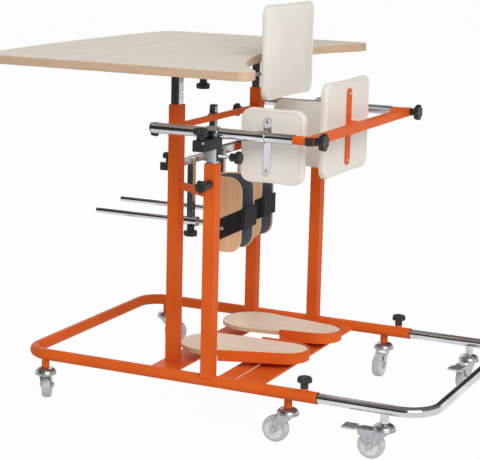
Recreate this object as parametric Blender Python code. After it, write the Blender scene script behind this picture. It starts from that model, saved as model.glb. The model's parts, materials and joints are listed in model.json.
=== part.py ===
"""Standing frame with a work table, for a person who is held upright while standing.

A bent tube base on six castors carries four columns. The table, the pelvic rails and the knee hanger
slide on them, a chrome U slides out of the base at the rear, and star knobs lock every slide.
Metres, +Z up, floor at z = 0. +Y is the way the user faces, -X is the user's left.
"""

import math

import bmesh
import bpy
from mathutils import Matrix, Vector

# Clearances
SEAT_GAP = 0.0003  # between pieces that rest on each other
SLIDE_GAP = 0.0004  # round a tube or bar that slides in another
TURN_GAP = 0.0003  # round a stud, stem or axle that turns
OVERLAP = 0.001  # how far welded shapes run into each other

# Castors
CASTOR_H = 0.0887  # floor to the top of the swivel dome
WHEEL_D = 0.065
WHEEL_W = 0.022
WHEEL_SIDE_GAP = 0.0015
TYRE_EDGE = 0.004
CASTOR_TRAIL = 0.030
AXLE_D = 0.008
STEM_D = 0.010
STEM_L = 0.014
DOME_D = 0.054
DOME_H = 0.018
DOME_PROFILE = ((0.97, 0), (1, 0.25), (0.80, 0.70))  # shares of its radius and height
FORK_T = 0.002
FORK_EYE_R = 0.009
FORK_EYE_DEG = (20, -20, -60, -100, -140, 180)
FORK_SHOULDER = 0.70  # share of the dome's radius
PEDAL_PIN_D = 0.005
PEDAL_PIN_REACH = 0.028  # from the axle, away from the stem
PEDAL_PIN_RISE = 0.0335  # above the axle
PEDAL_BARREL_WALL = 0.0027
PEDAL_EAR_WALL = 0.003
PEDAL_CLEAR = 0.008  # the tread widens only past the fork's ears
PEDAL_L = 0.042
PEDAL_T = 0.003
PEDAL_TIP_W = 0.036
SHOE_DROP = 0.0125
SHOE_T = 0.0035
SHOE_BACK = 0.0008
FRONT_CASTOR_Y = 0.458
MID_CASTOR_Y = -0.214
REAR_CASTOR_Y = -0.456
CASTOR_STANDS = (  # spot, side, place along the base and the way it is turned in degrees
    ("front_left", -1, FRONT_CASTOR_Y, 295),
    ("front_right", 1, FRONT_CASTOR_Y, 180),
    ("mid_left", -1, MID_CASTOR_Y, 0),
    ("mid_right", 1, MID_CASTOR_Y, 90),
    ("rear_left", -1, REAR_CASTOR_Y, 0),
    ("rear_right", 1, REAR_CASTOR_Y, 84),
)

# Base frame
TRACK = 0.660  # between the centre lines of the two side tubes
TUBE_WALL = 0.0016
BASE_FRONT_Y = 0.515
BASE_BEND = 0.062
SLEEVE_END_Y = -0.289
SOCKET_D = 0.020
SOCKET_DROP = 0.019
PLATE_T = 0.006
PLATE_RISE = 0.0057  # top of the cross plates above the tube's centre
FRONT_PLATE_W = 0.072
FRONT_PLATE_BACK = 0.010  # centre of the front plate behind the front columns
REAR_PLATE_Y = -0.0757
REAR_PLATE_W = 0.119
SLOT_Y = -0.059
SLOT_PLAY = 0.0006
SLOT_INNER_X = 0.070
SLOT_OUTER_X = 0.300
BOSS_D = 0.018
BOSS_H = 0.006
EXTENSION_KNOB_Y = -0.254

# Rear extension
EXTENSION_D = 0.0245
EXTENSION_WALL = 0.0015
EXTENSION_REAR_Y = -0.56175
EXTENSION_BEND = 0.075
EXTENSION_INSERT = 0.160

# Upright frame
COLUMN = 0.030
COLUMN_WALL = 0.003
FRONT_COLUMN_X = 0.2343
FRONT_COLUMN_Y = 0.1434
FRONT_COLUMN_TOP = 0.773
REAR_COLUMN_Y = -0.002
REAR_COLUMN_TOP = 0.654
SADDLE_RISE = 0.008  # lower end of the rear columns above the tube's centre
CROSS_BAR_H = 0.014
CROSS_BAR_T = 0.010
CROSS_BAR_DROP = 0.054
TIE_H = 0.018
TIE_T = 0.008
TIE_DROP = 0.077
TABLE_KNOB_DROP = 0.066
TABLE_HUB_L = 0.036
POST_KNOB_DROP = 0.048
POST_HUB_L = 0.036

# Table
TABLE_T = 0.021
LEG_SHOW = 0.0947  # from the front column's top to the underside of the table
TABLE_HALF_W = 0.482
TABLE_FRONT_Y = 0.574
TABLE_BOW = 0.026
TABLE_CORNER_R = 0.060
TIP_Y = (-0.153, -0.078)  # left and right, because the right arm is cut shorter
TIP_R = 0.022
NOTCH_HALF_W = 0.429
NOTCH_R = 0.780
LEG_WALL = 0.002
LEG_OVERLAP = 0.450
UNDER_RAIL_H = 0.025
UNDER_RAIL_W = 0.040
UNDER_RAIL_WALL = 0.002
UNDER_RAIL_END = 0.026  # beyond the middle of each leg
SLIDER_W = 0.030
SLIDER_T = 0.006
SLIDER_FRONT_Y = 0.300
GUIDE_WALL = 0.005
GUIDE_REAR_Y = 0.100
GUIDE_L = 0.110
CHEST_KNOB_Y = 0.190
CHEST_HUB_L = 0.024
CHEST_PLATE_W = 0.040
CHEST_PLATE_T = 0.004
CHEST_PLATE_RISE = 0.090

# Pads
PAD_W = 0.295
PAD_H = 0.237
PAD_T = 0.022
PAD_CORNER_R = 0.030
PAD_CROWN = 0.007
PAD_DRAW = 0.003
PAD_BACK_EDGE = ((0.006, 0), (0.0012, 0.004), (0, 0.007))  # inset and height above the back
PAD_FACE_EDGE = ((0, 0.004), (0.004, 0.001))  # inset and depth below the crown's rim
PAD_DOME = ((0.014, 0.35), (0.040, 0.75), (0.070, 1))  # inset and share of the crown
CHEST_PAD_FACE_Y = -0.058
CHEST_PAD_RISE = 0.0115
REAR_PAD_BACK_Y = -0.211
REAR_PAD_DROP = 0.0055
HIP_PAD_L = 0.166
HIP_PAD_H = 0.183
HIP_PAD_T = 0.030
HIP_CORNER_R = 0.030

# Pelvic support
RAIL_D = 0.025
RAIL_WALL = 0.0015
RAIL_FRONT_Y = 0.1586
RAIL_REAR_Y = -0.208
HEAD_STANDOFF = 0.006  # clamp head above the rear column
HEAD_W = 0.030
HEAD_L = 0.034
RAIL_RISE = 0.066  # rail above the foot of the clamp head
COLLAR_WALL = 0.003
COLLAR_L = 0.030
CLAMP_REACH = 0.058  # outwards from the rail's centre line
CLAMP_Y = 0.0075
CLAMP_L = 0.031
CLAMP_H = 0.026
CLAMP_GAP = 0.001  # top of the clamp block below the rail
RAIL_KNOB_REACH = 0.042
RAIL_KNOB_Y = 0.010
HEAD_KNOB_RISE = 0.012
HEAD_STUD_L = 0.012
HEAD_KNOB_STEM_L = 0.030
POST_OVERLAP = 0.350
ARM_INSERT = 0.058
ARM_SHOW = 0.0326
GATE_BAR = 0.020
GATE_OVERHANG = 0.011  # of the bar beyond the rail's centre line
GATE_STUD_L = 0.016
STRIP_T = 0.003
GATE_STRIP_W = 0.028
GATE_STRIP_L = 0.190
GATE_SPACER_W = 0.022
HIP_STRIP_W = 0.018
HIP_STRIP_L = 0.135
HIP_RING_WALL = 0.0025
HIP_RING_L = 0.018
HIP_WEB_T = 0.012
HIP_WEB_H = 0.016
# left and right values, because each hip pad is set by itself
HIP_PAD_Y = (-0.137, 0.013)
HIP_RING_Y = (-0.128, -0.045)
HIP_PAD_DROP = (0.026, 0.069)
HIP_REACH = (0.0205, 0.0625)  # from the rail's inner side to the pad
HIP_STRIP_RISE = (0.0415, 0.016)  # strip's upper end above the rail

# Knee support
HANGER_BAR = 0.016
HANGER_GUIDE_WALL = 0.003
HANGER_GUIDE_L = 0.012
HANGER_GUIDE_RISE = 0.005
HANGER_POST_RISE = 0.025
HANGER_DROP = 0.101
HANGER_HALF_W = 0.237
HANGER_CROSS = 0.020  # square cross bar in front of the columns
HANGER_CROSS_WALL = 0.002
HANGER_KNOB_X = 0.206
HANGER_HUB_L = 0.005
KNEE_X = (-0.1188, 0.057)  # left and right knees, each set by itself
ROD_DROP = 0.154
ROD_D = 0.015
ROD_L = 0.345
ROD_FRONT_Y = 0.433
ROD_SLEEVE_WALL = 0.0045
ROD_SLEEVE_L = 0.040
KNEE_FORWARD = (0.0, 0.026)
CUP_PLATE_W = 0.036
CUP_PLATE_H = 0.060
CUP_PLATE_T = 0.003
CUP_R = 0.039
CUP_WALL = 0.005
CUP_WING = 0.045
CUP_H = 0.190
CUP_CORNER_R = 0.034
CUP_CORNER_SHARES = (0, 0.08, 0.25, 0.5, 1)  # path points along the wing's rounded corner
CUP_RISE = 0.0337
STRAP_W = 0.053
STRAP_T = 0.002
STRAP_SLOPE = 0.51
STRAP_DROP = 0.032
STRAP_FRONT = 0.015
STRAP_CORNER_R = 0.008  # the strap turns just behind the wings

# Foot plates
FOOT_STUD_X = (-0.125, 0.101)  # left and right, each set by itself
FOOT_TURN_DEG = (10.0, -1.0)
HEEL_R = 0.058
HEEL_BACK = 0.053
TOE_R = 0.086
TOE_FORWARD = 0.132
BOARD_T = 0.012
TRAY_T = 0.003
SKIRT_T = 0.003
SKIRT_UP = 0.004
SKIRT_DOWN = 0.009
SKIRT_OUTER = 0.100  # front end of the skirt from the stud, outer side
SKIRT_INNER = 0.026
FOOT_BLOCK_W = 0.040
FOOT_BLOCK_L = 0.060
FOOT_BLOCK_H = 0.022
FOOT_STUD_L = 0.009

# Star knobs
STUD_D = 0.008
HUB_D = 0.020
HUB_L = 0.012
KNOB_D = 0.036
SMALL_KNOB_D = 0.031
GATE_KNOB_D = 0.042
KNOB_T = 0.015
KNOB_LOBES = 6
KNOB_LOBE_DEPTH = 0.10
KNOB_FLARE = 0.15  # share of the head's thickness below its full width
KNOB_SHOULDER = 0.75
KNOB_CAP = 0.76  # share of the head's width at its outer face

# Facets
TUBE_SIDES = 16
WHEEL_SIDES = 20
PIN_SIDES = 12
BEND_STEPS = 6
CUP_TURNS = 10
FRONT_STEPS = 6
NOTCH_STEPS = 18
HEEL_STEPS = 12
TOE_STEPS = 14
LOBE_POINTS = 3
SHARP_DEG = 35

# Derived sizes
SIDES = ((0, "left", -1), (1, "right", 1))
SIDE_X = TRACK / 2
TUBE_D = EXTENSION_D + 2 * (SLIDE_GAP + TUBE_WALL)
TUBE_Z = CASTOR_H + SEAT_GAP + SOCKET_DROP + TUBE_D / 2
PLATE_TOP = TUBE_Z + PLATE_RISE
PLATE_BOTTOM = PLATE_TOP - PLATE_T
LEG = COLUMN - 2 * (COLUMN_WALL + SLIDE_GAP)
STUD_HOLE_R = STUD_D / 2 + TURN_GAP
WALL_STUD_L = COLUMN_WALL + SLIDE_GAP
CROSS_BAR_Z = FRONT_COLUMN_TOP - CROSS_BAR_DROP
TIE_Z = REAR_COLUMN_TOP - TIE_DROP
TABLE_BOTTOM = FRONT_COLUMN_TOP + LEG_SHOW
TABLE_TOP = TABLE_BOTTOM + TABLE_T
UNDER_RAIL_TOP = TABLE_BOTTOM - SEAT_GAP
UNDER_RAIL_BOTTOM = UNDER_RAIL_TOP - UNDER_RAIL_H
GUIDE_BOTTOM = UNDER_RAIL_BOTTOM - SLIDER_T - 2 * (SLIDE_GAP + GUIDE_WALL)
SLIDER_BOTTOM = GUIDE_BOTTOM + GUIDE_WALL + SLIDE_GAP
CHEST_PAD_BACK_Y = CHEST_PAD_FACE_Y + PAD_T
HEAD_BOTTOM = REAR_COLUMN_TOP + HEAD_STANDOFF
RAIL_Z = HEAD_BOTTOM + RAIL_RISE
CLAMP_TOP = RAIL_Z - RAIL_D / 2 - CLAMP_GAP
ARM_D = RAIL_D - 2 * (RAIL_WALL + SLIDE_GAP)
GATE_FRONT_Y = RAIL_REAR_Y - ARM_SHOW
GATE_Y = GATE_FRONT_Y - GATE_BAR / 2
GATE_REAR_Y = GATE_FRONT_Y - GATE_BAR
HANGER_GUIDE = HANGER_BAR + 2 * (SLIDE_GAP + HANGER_GUIDE_WALL)
HANGER_Y = FRONT_COLUMN_Y + CROSS_BAR_T / 2 + HANGER_GUIDE / 2 - OVERLAP
HANGER_Z = CROSS_BAR_Z - HANGER_DROP
ROD_Z = HANGER_Z - ROD_DROP
ROD_SLEEVE_D = ROD_D + 2 * (SLIDE_GAP + ROD_SLEEVE_WALL)
ROD_REAR_Y = ROD_FRONT_Y - ROD_L
CUP_FRONT_Y = ROD_REAR_Y - CUP_PLATE_T - SEAT_GAP
CUP_Z = ROD_Z + CUP_RISE
FOOT_BLOCK_BOTTOM = PLATE_TOP + SEAT_GAP
TRAY_BOTTOM = FOOT_BLOCK_BOTTOM + FOOT_BLOCK_H
BOARD_BOTTOM = TRAY_BOTTOM + TRAY_T + SEAT_GAP
BOARD_TOP = BOARD_BOTTOM + BOARD_T


def linear(hex_colour):
    """Linear red, green and blue of a screen colour such as D95A24."""
    parts = [int(hex_colour[k : k + 2], 16) / 255 for k in (0, 2, 4)]
    return [c / 12.92 if c <= 0.04045 else ((c + 0.055) / 1.055) ** 2.4 for c in parts]


def principled(name, hex_colour, roughness, metallic):
    material = bpy.data.materials.new(name)
    material.use_nodes = True
    shader = material.node_tree.nodes["Principled BSDF"]
    shader.inputs["Base Color"].default_value = (*linear(hex_colour), 1)
    shader.inputs["Roughness"].default_value = roughness
    shader.inputs["Metallic"].default_value = metallic
    return material


def skin(rings, loop=False):
    """A closed body through rings of points that all have the same count."""
    bm = bmesh.new()
    rows = [[bm.verts.new(point) for point in ring] for ring in rings]
    pairs = list(zip(rows, rows[1:]))
    if loop:
        pairs.append((rows[-1], rows[0]))
    for first, second in pairs:
        for k in range(len(first)):
            after = (k + 1) % len(first)
            bm.faces.new((first[k], first[after], second[after], second[k]))
    if not loop:
        bm.faces.new(rows[0])
        bm.faces.new(rows[-1])
    bmesh.ops.recalc_face_normals(bm, faces=bm.faces)
    return bm


def prism(outline, low, high):
    """An outline in X and Y, raised from one height to another."""
    return skin([[(x, y, z) for x, y in outline] for z in (low, high)])


def box(low, high):
    (x0, y0, z0), (x1, y1, z1) = low, high
    return prism([(x0, y0), (x1, y0), (x1, y1), (x0, y1)], z0, z1)


def ring(centre, along, radius, sides):
    """Points of a circle round an axis, one of them straight below the centre."""
    along = Vector(along).normalized()
    upright = abs(along.z) > abs(along.x) + abs(along.y)
    up = Vector((0, 1, 0)) if upright else Vector((0, 0, 1))
    across = along.cross(up).normalized()
    up = across.cross(along)
    angles = [math.tau * k / sides - math.pi / 2 for k in range(sides)]
    return [Vector(centre) + radius * (math.cos(a) * across + math.sin(a) * up) for a in angles]


def rod(start, end, diameter, sides=PIN_SIDES):
    along = Vector(end) - Vector(start)
    return skin([ring(point, along, diameter / 2, sides) for point in (start, end)])


def turned(profile, sides, axis="Z"):
    """A body turned from (radius, place along the axis) pairs."""
    along = Vector((0, 0, 1)) if axis == "Z" else Vector((1, 0, 0))
    return skin([ring(along * place, along, radius, sides) for radius, place in profile])


def rounded(corners):
    """An outline whose (x, y, radius) corners are rounded by arcs. Radius 0 keeps a corner sharp."""
    points = []
    count = len(corners)
    for k, (x, y, radius) in enumerate(corners):
        corner = Vector((x, y))
        if not radius:
            points.append(corner)
            continue
        before = (Vector(corners[k - 1][:2]) - corner).normalized()
        after = (Vector(corners[(k + 1) % count][:2]) - corner).normalized()
        half = before.angle(after) / 2
        middle = corner + (before + after).normalized() * (radius / math.sin(half))
        first = corner + before * (radius / math.tan(half)) - middle
        last = corner + after * (radius / math.tan(half)) - middle
        start = math.atan2(first.y, first.x)
        sweep = (math.atan2(last.y, last.x) - start + math.pi) % math.tau - math.pi
        for step in range(BEND_STEPS + 1):
            angle = start + sweep * step / BEND_STEPS
            points.append(middle + radius * Vector((math.cos(angle), math.sin(angle))))
    return points


def u_path(half_width, cross_y, open_y, bend, height):
    """Centre line of a U that lies flat: its cross piece at cross_y, its open ends at open_y."""
    corners = [
        (-half_width, open_y, 0),
        (-half_width, cross_y, bend),
        (half_width, cross_y, bend),
        (half_width, open_y, 0),
    ]
    return [Vector((p.x, p.y, height)) for p in rounded(corners)]


def piped(path, diameter):
    """A round bar along a path that lies flat."""
    rings = []
    for k, point in enumerate(path):
        along = path[min(k + 1, len(path) - 1)] - path[max(k - 1, 0)]
        rings.append(ring(point, along, diameter / 2, TUBE_SIDES))
    return skin(rings)


def band(path, inner, outer, low, high):
    """A wall along a path: each path point gives its place and its outward direction in X and Y."""
    rings = []
    for k, (point, out) in enumerate(path):
        near = point + out * inner
        far = point + out * outer
        z0 = low(k)
        z1 = high(k)
        rings.append([(near.x, near.y, z0), (far.x, far.y, z0), (far.x, far.y, z1), (near.x, near.y, z1)])
    return skin(rings)


def mesh_of(bm):
    mesh = bpy.data.meshes.new("shape")
    bm.to_mesh(mesh)
    bm.free()
    return mesh


def shaped(bodies, cuts=()):
    """One mesh: the bodies joined, then the cuts taken out of them."""
    collection = bpy.context.scene.collection
    operands = [bpy.data.objects.new("operand", mesh_of(bm)) for bm in (*bodies, *cuts)]
    for operand in operands:
        collection.objects.link(operand)
    first = operands[0]
    for k, operand in enumerate(operands[1:], 1):
        boolean = first.modifiers.new("join", "BOOLEAN")
        boolean.operation = "UNION" if k < len(bodies) else "DIFFERENCE"
        boolean.solver = "EXACT"
        boolean.object = operand
    graph = bpy.context.evaluated_depsgraph_get()
    mesh = bpy.data.meshes.new_from_object(first.evaluated_get(graph))
    for operand in operands:
        bpy.data.objects.remove(operand)
    return mesh


def place(name, mesh, material, origin=(0, 0, 0), turn=None):
    """An object whose mesh is drawn round its own origin."""
    mesh.shade_smooth()
    mesh.set_sharp_from_angle(angle=math.radians(SHARP_DEG))
    if not mesh.materials:
        mesh.materials.append(material)
    thing = bpy.data.objects.new(name, mesh)
    thing.location = origin
    if turn:
        thing.rotation_euler = turn.to_euler()
    bpy.context.scene.collection.objects.link(thing)
    return thing


def facing(direction):
    """The turn that takes +Z to a direction."""
    return Vector((0, 0, 1)).rotation_difference(Vector(direction)).to_matrix()


def knob_body(stud_l, stem_l=0.0, hub_l=HUB_L, head_d=KNOB_D):
    """A star knob: stud below z = 0, then any bare stem, hub and lobed head above it."""
    count = KNOB_LOBES * LOBE_POINTS

    def level(radius, z, lobe=0.0):
        points = []
        for k in range(count):
            angle = math.tau * k / count
            reach = radius * (1 - lobe * (k % LOBE_POINTS == 0))
            points.append((reach * math.cos(angle), reach * math.sin(angle), z))
        return points

    hub_z = stem_l
    head_z = hub_z + hub_l
    rings = [level(STUD_D / 2, -stud_l), level(STUD_D / 2, hub_z)]
    rings.append(level(HUB_D / 2, hub_z))
    rings.append(level(HUB_D / 2, head_z))
    rings.append(level(head_d / 2, head_z + KNOB_T * KNOB_FLARE, KNOB_LOBE_DEPTH))
    rings.append(level(head_d / 2, head_z + KNOB_T * KNOB_SHOULDER, KNOB_LOBE_DEPTH))
    rings.append(level(head_d / 2 * KNOB_CAP, head_z + KNOB_T, KNOB_LOBE_DEPTH))
    return skin(rings)


def knob_mesh(stud_l, stem_l=0.0, hub_l=HUB_L, head_d=KNOB_D):
    return mesh_of(knob_body(stud_l, stem_l, hub_l, head_d))


def cushion(width, height, thick, corner_r):
    """A pad on z = 0 with a flat back, a crowned face and sides drawn in between its corners."""
    half_w = width / 2
    half_h = height / 2
    outline = []
    corners = [(-half_w, -half_h), (half_w, -half_h), (half_w, half_h), (-half_w, half_h)]
    filleted = rounded([(x, y, corner_r) for x, y in corners])
    for k, point in enumerate(filleted):
        outline.append(point)
        if k % (BEND_STEPS + 1) == BEND_STEPS:
            after = filleted[(k + 1) % len(filleted)]
            outline.extend([point.lerp(after, 1 / 3), point.lerp(after, 2 / 3)])
    drawn = []
    for p in outline:
        x = p.x * (1 - PAD_DRAW / half_w * (1 - (p.y / half_h) ** 2))
        y = p.y * (1 - PAD_DRAW / half_h * (1 - (p.x / half_w) ** 2))
        drawn.append((x, y))
    side_top = thick - PAD_CROWN
    levels = list(PAD_BACK_EDGE)
    levels += [(inset, side_top - depth) for inset, depth in PAD_FACE_EDGE]
    levels += [(inset, side_top + share * PAD_CROWN) for inset, share in PAD_DOME]
    return skin([[(x * (1 - i / half_w), y * (1 - i / half_h), z) for x, y in drawn] for i, z in levels])


def castor_fork(braked):
    """Stem, dome, two fork plates and axle, with the stem's axis at the origin and the wheel at +Y."""
    radius = WHEEL_D / 2
    dome_bottom = CASTOR_H - DOME_H
    stem_r = STEM_D / 2
    dome_r = DOME_D / 2
    head = turned(
        [
            *((dome_r * wide, dome_bottom + DOME_H * rise) for wide, rise in DOME_PROFILE),
            (SOCKET_D / 2, CASTOR_H),
            (stem_r, CASTOR_H),
            (stem_r, CASTOR_H + STEM_L),
        ],
        TUBE_SIDES,
    )
    inner = WHEEL_W / 2 + WHEEL_SIDE_GAP
    top = dome_bottom + OVERLAP
    eye_angles = [math.radians(degrees) for degrees in FORK_EYE_DEG]
    eye = [
        (CASTOR_TRAIL + FORK_EYE_R * math.cos(a), radius + FORK_EYE_R * math.sin(a)) for a in eye_angles
    ]
    shoulder = dome_r * FORK_SHOULDER
    pin = (CASTOR_TRAIL + PEDAL_PIN_REACH, radius + PEDAL_PIN_RISE)
    pin_eye = PEDAL_PIN_D / 2 + PEDAL_EAR_WALL
    front = [(shoulder, top)]
    if braked:
        front += [(pin[0], pin[1] + pin_eye), (pin[0] + pin_eye, pin[1]), (pin[0], pin[1] - pin_eye)]
    side = [(-shoulder, top), *front, *eye]
    plates = []
    for sign in (-1, 1):
        rings = [[(sign * x, y, z) for y, z in side] for x in (inner, inner + FORK_T)]
        plates.append(skin(rings))
    reach = inner + FORK_T / 2
    bars = [rod((-reach, CASTOR_TRAIL, radius), (reach, CASTOR_TRAIL, radius), AXLE_D)]
    if braked:
        bars.append(rod((-reach, *pin), (reach, *pin), PEDAL_PIN_D))
    return shaped([head, *plates, *bars])


def castor_wheel():
    """A wheel round the X axis, with its bore at the origin."""
    radius = WHEEL_D / 2
    half = WHEEL_W / 2
    bore = AXLE_D / 2 + TURN_GAP
    shoulder = radius - TYRE_EDGE
    tread = half - TYRE_EDGE
    profile = [(bore, -half), (shoulder, -half), (radius, -tread)]
    profile += [(radius, tread), (shoulder, half), (bore, half)]
    rings = [ring((place, 0, 0), (1, 0, 0), r, WHEEL_SIDES) for r, place in profile]
    return mesh_of(skin(rings, loop=True))


def brake_pedal():
    """A pedal round its hinge pin, which is the X axis, with the tread towards +Y and a shoe below."""
    half = WHEEL_W / 2 + WHEEL_SIDE_GAP - 2 * TURN_GAP
    barrel_d = PEDAL_PIN_D + 2 * (TURN_GAP + PEDAL_BARREL_WALL)
    lift = barrel_d / 2 - PEDAL_T
    tread_half = PEDAL_TIP_W / 2
    tread_low = lift - PEDAL_T / 2 - OVERLAP / 2
    clear = PEDAL_PIN_D / 2 + PEDAL_CLEAR
    bodies = [
        rod((-half, 0, 0), (half, 0, 0), barrel_d),
        box((-half, 0, lift - PEDAL_T / 2), (half, PEDAL_L - OVERLAP, lift + PEDAL_T / 2)),
        box((-tread_half, clear, tread_low), (tread_half, PEDAL_L, lift + PEDAL_T)),
        box((-half + OVERLAP, -SHOE_BACK, -SHOE_DROP), (half - OVERLAP, SHOE_T, -barrel_d / 4)),
    ]
    bore = rod((-WHEEL_W, 0, 0), (WHEEL_W, 0, 0), PEDAL_PIN_D + 2 * TURN_GAP)
    return shaped(bodies, [bore])


def make_castors(chrome, wheel_grey, steel):
    """Six castors, turned as they stand, the rear pair with brakes."""
    plain = castor_fork(False)
    braked = castor_fork(True)
    wheel = castor_wheel()
    pedal = brake_pedal()
    for spot, sign, y, degrees in CASTOR_STANDS:
        has_brake = spot.startswith("rear")
        turn = Matrix.Rotation(math.radians(degrees), 3, "Z")
        stem = Vector((sign * SIDE_X, y, 0))
        axle = turn @ Vector((0, CASTOR_TRAIL, WHEEL_D / 2))
        place("castor_fork_" + spot, braked if has_brake else plain, chrome, stem, turn)
        place("castor_wheel_" + spot, wheel, wheel_grey, stem + axle, turn)
        if has_brake:
            pin = Vector((0, CASTOR_TRAIL + PEDAL_PIN_REACH, WHEEL_D / 2 + PEDAL_PIN_RISE))
            place("brake_pedal_" + spot, pedal, steel, stem + turn @ pin, turn)


def socket(x, y, tube_d):
    """A castor socket from inside a tube down to the castor's dome, and its bore."""
    mouth = CASTOR_H + SEAT_GAP
    root = TUBE_Z - tube_d / 4
    bore_end = CASTOR_H + STEM_L + SEAT_GAP
    body = rod((x, y, mouth), (x, y, root), SOCKET_D, TUBE_SIDES)
    bore = rod((x, y, mouth - OVERLAP), (x, y, bore_end), STEM_D + 2 * TURN_GAP, TUBE_SIDES)
    return body, bore


def make_base_frame(orange):
    path = u_path(SIDE_X, BASE_FRONT_Y, SLEEVE_END_Y, BASE_BEND, TUBE_Z)
    bore_path = u_path(SIDE_X, BASE_FRONT_Y, SLEEVE_END_Y - TUBE_D, BASE_BEND, TUBE_Z)
    front_plate_y = FRONT_COLUMN_Y - FRONT_PLATE_BACK
    bodies = [piped(path, TUBE_D)]
    for y, width in ((front_plate_y, FRONT_PLATE_W), (REAR_PLATE_Y, REAR_PLATE_W)):
        low = (-SIDE_X, y - width / 2, PLATE_BOTTOM)
        bodies.append(box(low, (SIDE_X, y + width / 2, PLATE_TOP)))
    cuts = [piped(bore_path, TUBE_D - 2 * TUBE_WALL)]
    slot_w = STUD_D + 2 * SLOT_PLAY
    for _, _, sign in SIDES:
        for y in (FRONT_CASTOR_Y, MID_CASTOR_Y):
            body, bore = socket(sign * SIDE_X, y, TUBE_D)
            bodies.append(body)
            cuts.append(bore)
        x = sign * SIDE_X
        boss_top = TUBE_Z + TUBE_D / 2 + BOSS_H
        root = (x, EXTENSION_KNOB_Y, TUBE_Z)
        bodies.append(rod(root, (x, EXTENSION_KNOB_Y, boss_top), BOSS_D, TUBE_SIDES))
        cuts.append(rod(root, (x, EXTENSION_KNOB_Y, boss_top + OVERLAP), 2 * STUD_HOLE_R))
        ends = sorted((sign * SLOT_INNER_X, sign * SLOT_OUTER_X))
        low = (ends[0], SLOT_Y - slot_w / 2, PLATE_BOTTOM - OVERLAP)
        cuts.append(box(low, (ends[1], SLOT_Y + slot_w / 2, PLATE_TOP + OVERLAP)))
    place("base_frame", shaped(bodies, cuts), orange)


def make_rear_extension(chrome):
    open_y = SLEEVE_END_Y + EXTENSION_INSERT
    path = u_path(SIDE_X, EXTENSION_REAR_Y, open_y, EXTENSION_BEND, TUBE_Z)
    bore_path = u_path(SIDE_X, EXTENSION_REAR_Y, open_y + EXTENSION_D, EXTENSION_BEND, TUBE_Z)
    bodies = [piped(path, EXTENSION_D)]
    cuts = [piped(bore_path, EXTENSION_D - 2 * EXTENSION_WALL)]
    for _, _, sign in SIDES:
        body, bore = socket(sign * SIDE_X, REAR_CASTOR_Y, EXTENSION_D)
        bodies.append(body)
        cuts.append(bore)
    place("rear_extension", shaped(bodies, cuts), chrome)


def square_tube(x, y, low, high, size):
    half = size / 2
    return box((x - half, y - half, low), (x + half, y + half, high))


def make_upright_frame(orange):
    """Four columns, the front cross bar with the hanger's guide, and the two side ties."""
    bore = COLUMN - 2 * COLUMN_WALL
    bodies = []
    cuts = []
    bar_low = (-FRONT_COLUMN_X, FRONT_COLUMN_Y - CROSS_BAR_T / 2, CROSS_BAR_Z - CROSS_BAR_H / 2)
    bar_high = (FRONT_COLUMN_X, FRONT_COLUMN_Y + CROSS_BAR_T / 2, CROSS_BAR_Z + CROSS_BAR_H / 2)
    bodies.append(box(bar_low, bar_high))
    guide_top = CROSS_BAR_Z + HANGER_GUIDE_RISE
    guide_bottom = guide_top - HANGER_GUIDE_L
    bodies.append(square_tube(0, HANGER_Y, guide_bottom, guide_top, HANGER_GUIDE))
    guide_bore = HANGER_BAR + 2 * SLIDE_GAP
    for _, _, sign in SIDES:
        front = Vector((sign * FRONT_COLUMN_X, FRONT_COLUMN_Y))
        rear = Vector((sign * SIDE_X, REAR_COLUMN_Y))
        foot = PLATE_TOP + SEAT_GAP
        bodies.append(square_tube(front.x, front.y, foot, FRONT_COLUMN_TOP, COLUMN))
        cuts.append(square_tube(front.x, front.y, foot - OVERLAP, FRONT_COLUMN_TOP + OVERLAP, bore))
        bodies.append(square_tube(rear.x, rear.y, TUBE_Z + SADDLE_RISE, REAR_COLUMN_TOP, COLUMN))
        cuts.append(square_tube(rear.x, rear.y, TUBE_Z, REAR_COLUMN_TOP + OVERLAP, bore))
        saddle_d = TUBE_D + 2 * SEAT_GAP
        saddle_ends = [(rear.x, rear.y + step, TUBE_Z) for step in (-COLUMN, COLUMN)]
        cuts.append(rod(*saddle_ends, saddle_d, TUBE_SIDES))
        # the tie ends inside the walls of both columns
        across = (rear - front).normalized()
        aside = Vector((-across.y, across.x)) * (TIE_T / 2)
        ends = (front + across * (COLUMN / 2 - OVERLAP), rear - across * (COLUMN / 2 - OVERLAP))
        outline = [ends[0] + aside, ends[1] + aside, ends[1] - aside, ends[0] - aside]
        bodies.append(prism(outline, TIE_Z - TIE_H / 2, TIE_Z + TIE_H / 2))
        knob_z = FRONT_COLUMN_TOP - TABLE_KNOB_DROP
        cuts.append(rod((front.x, front.y, knob_z), (front.x, front.y + COLUMN, knob_z), 2 * STUD_HOLE_R))
        knob_z = REAR_COLUMN_TOP - POST_KNOB_DROP
        outside = (rear.x + sign * COLUMN, rear.y, knob_z)
        cuts.append(rod((rear.x, rear.y, knob_z), outside, 2 * STUD_HOLE_R))
    cuts.append(square_tube(0, HANGER_Y, guide_bottom - OVERLAP, guide_top + OVERLAP, guide_bore))
    place("upright_frame", shaped(bodies, cuts), orange)


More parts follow.
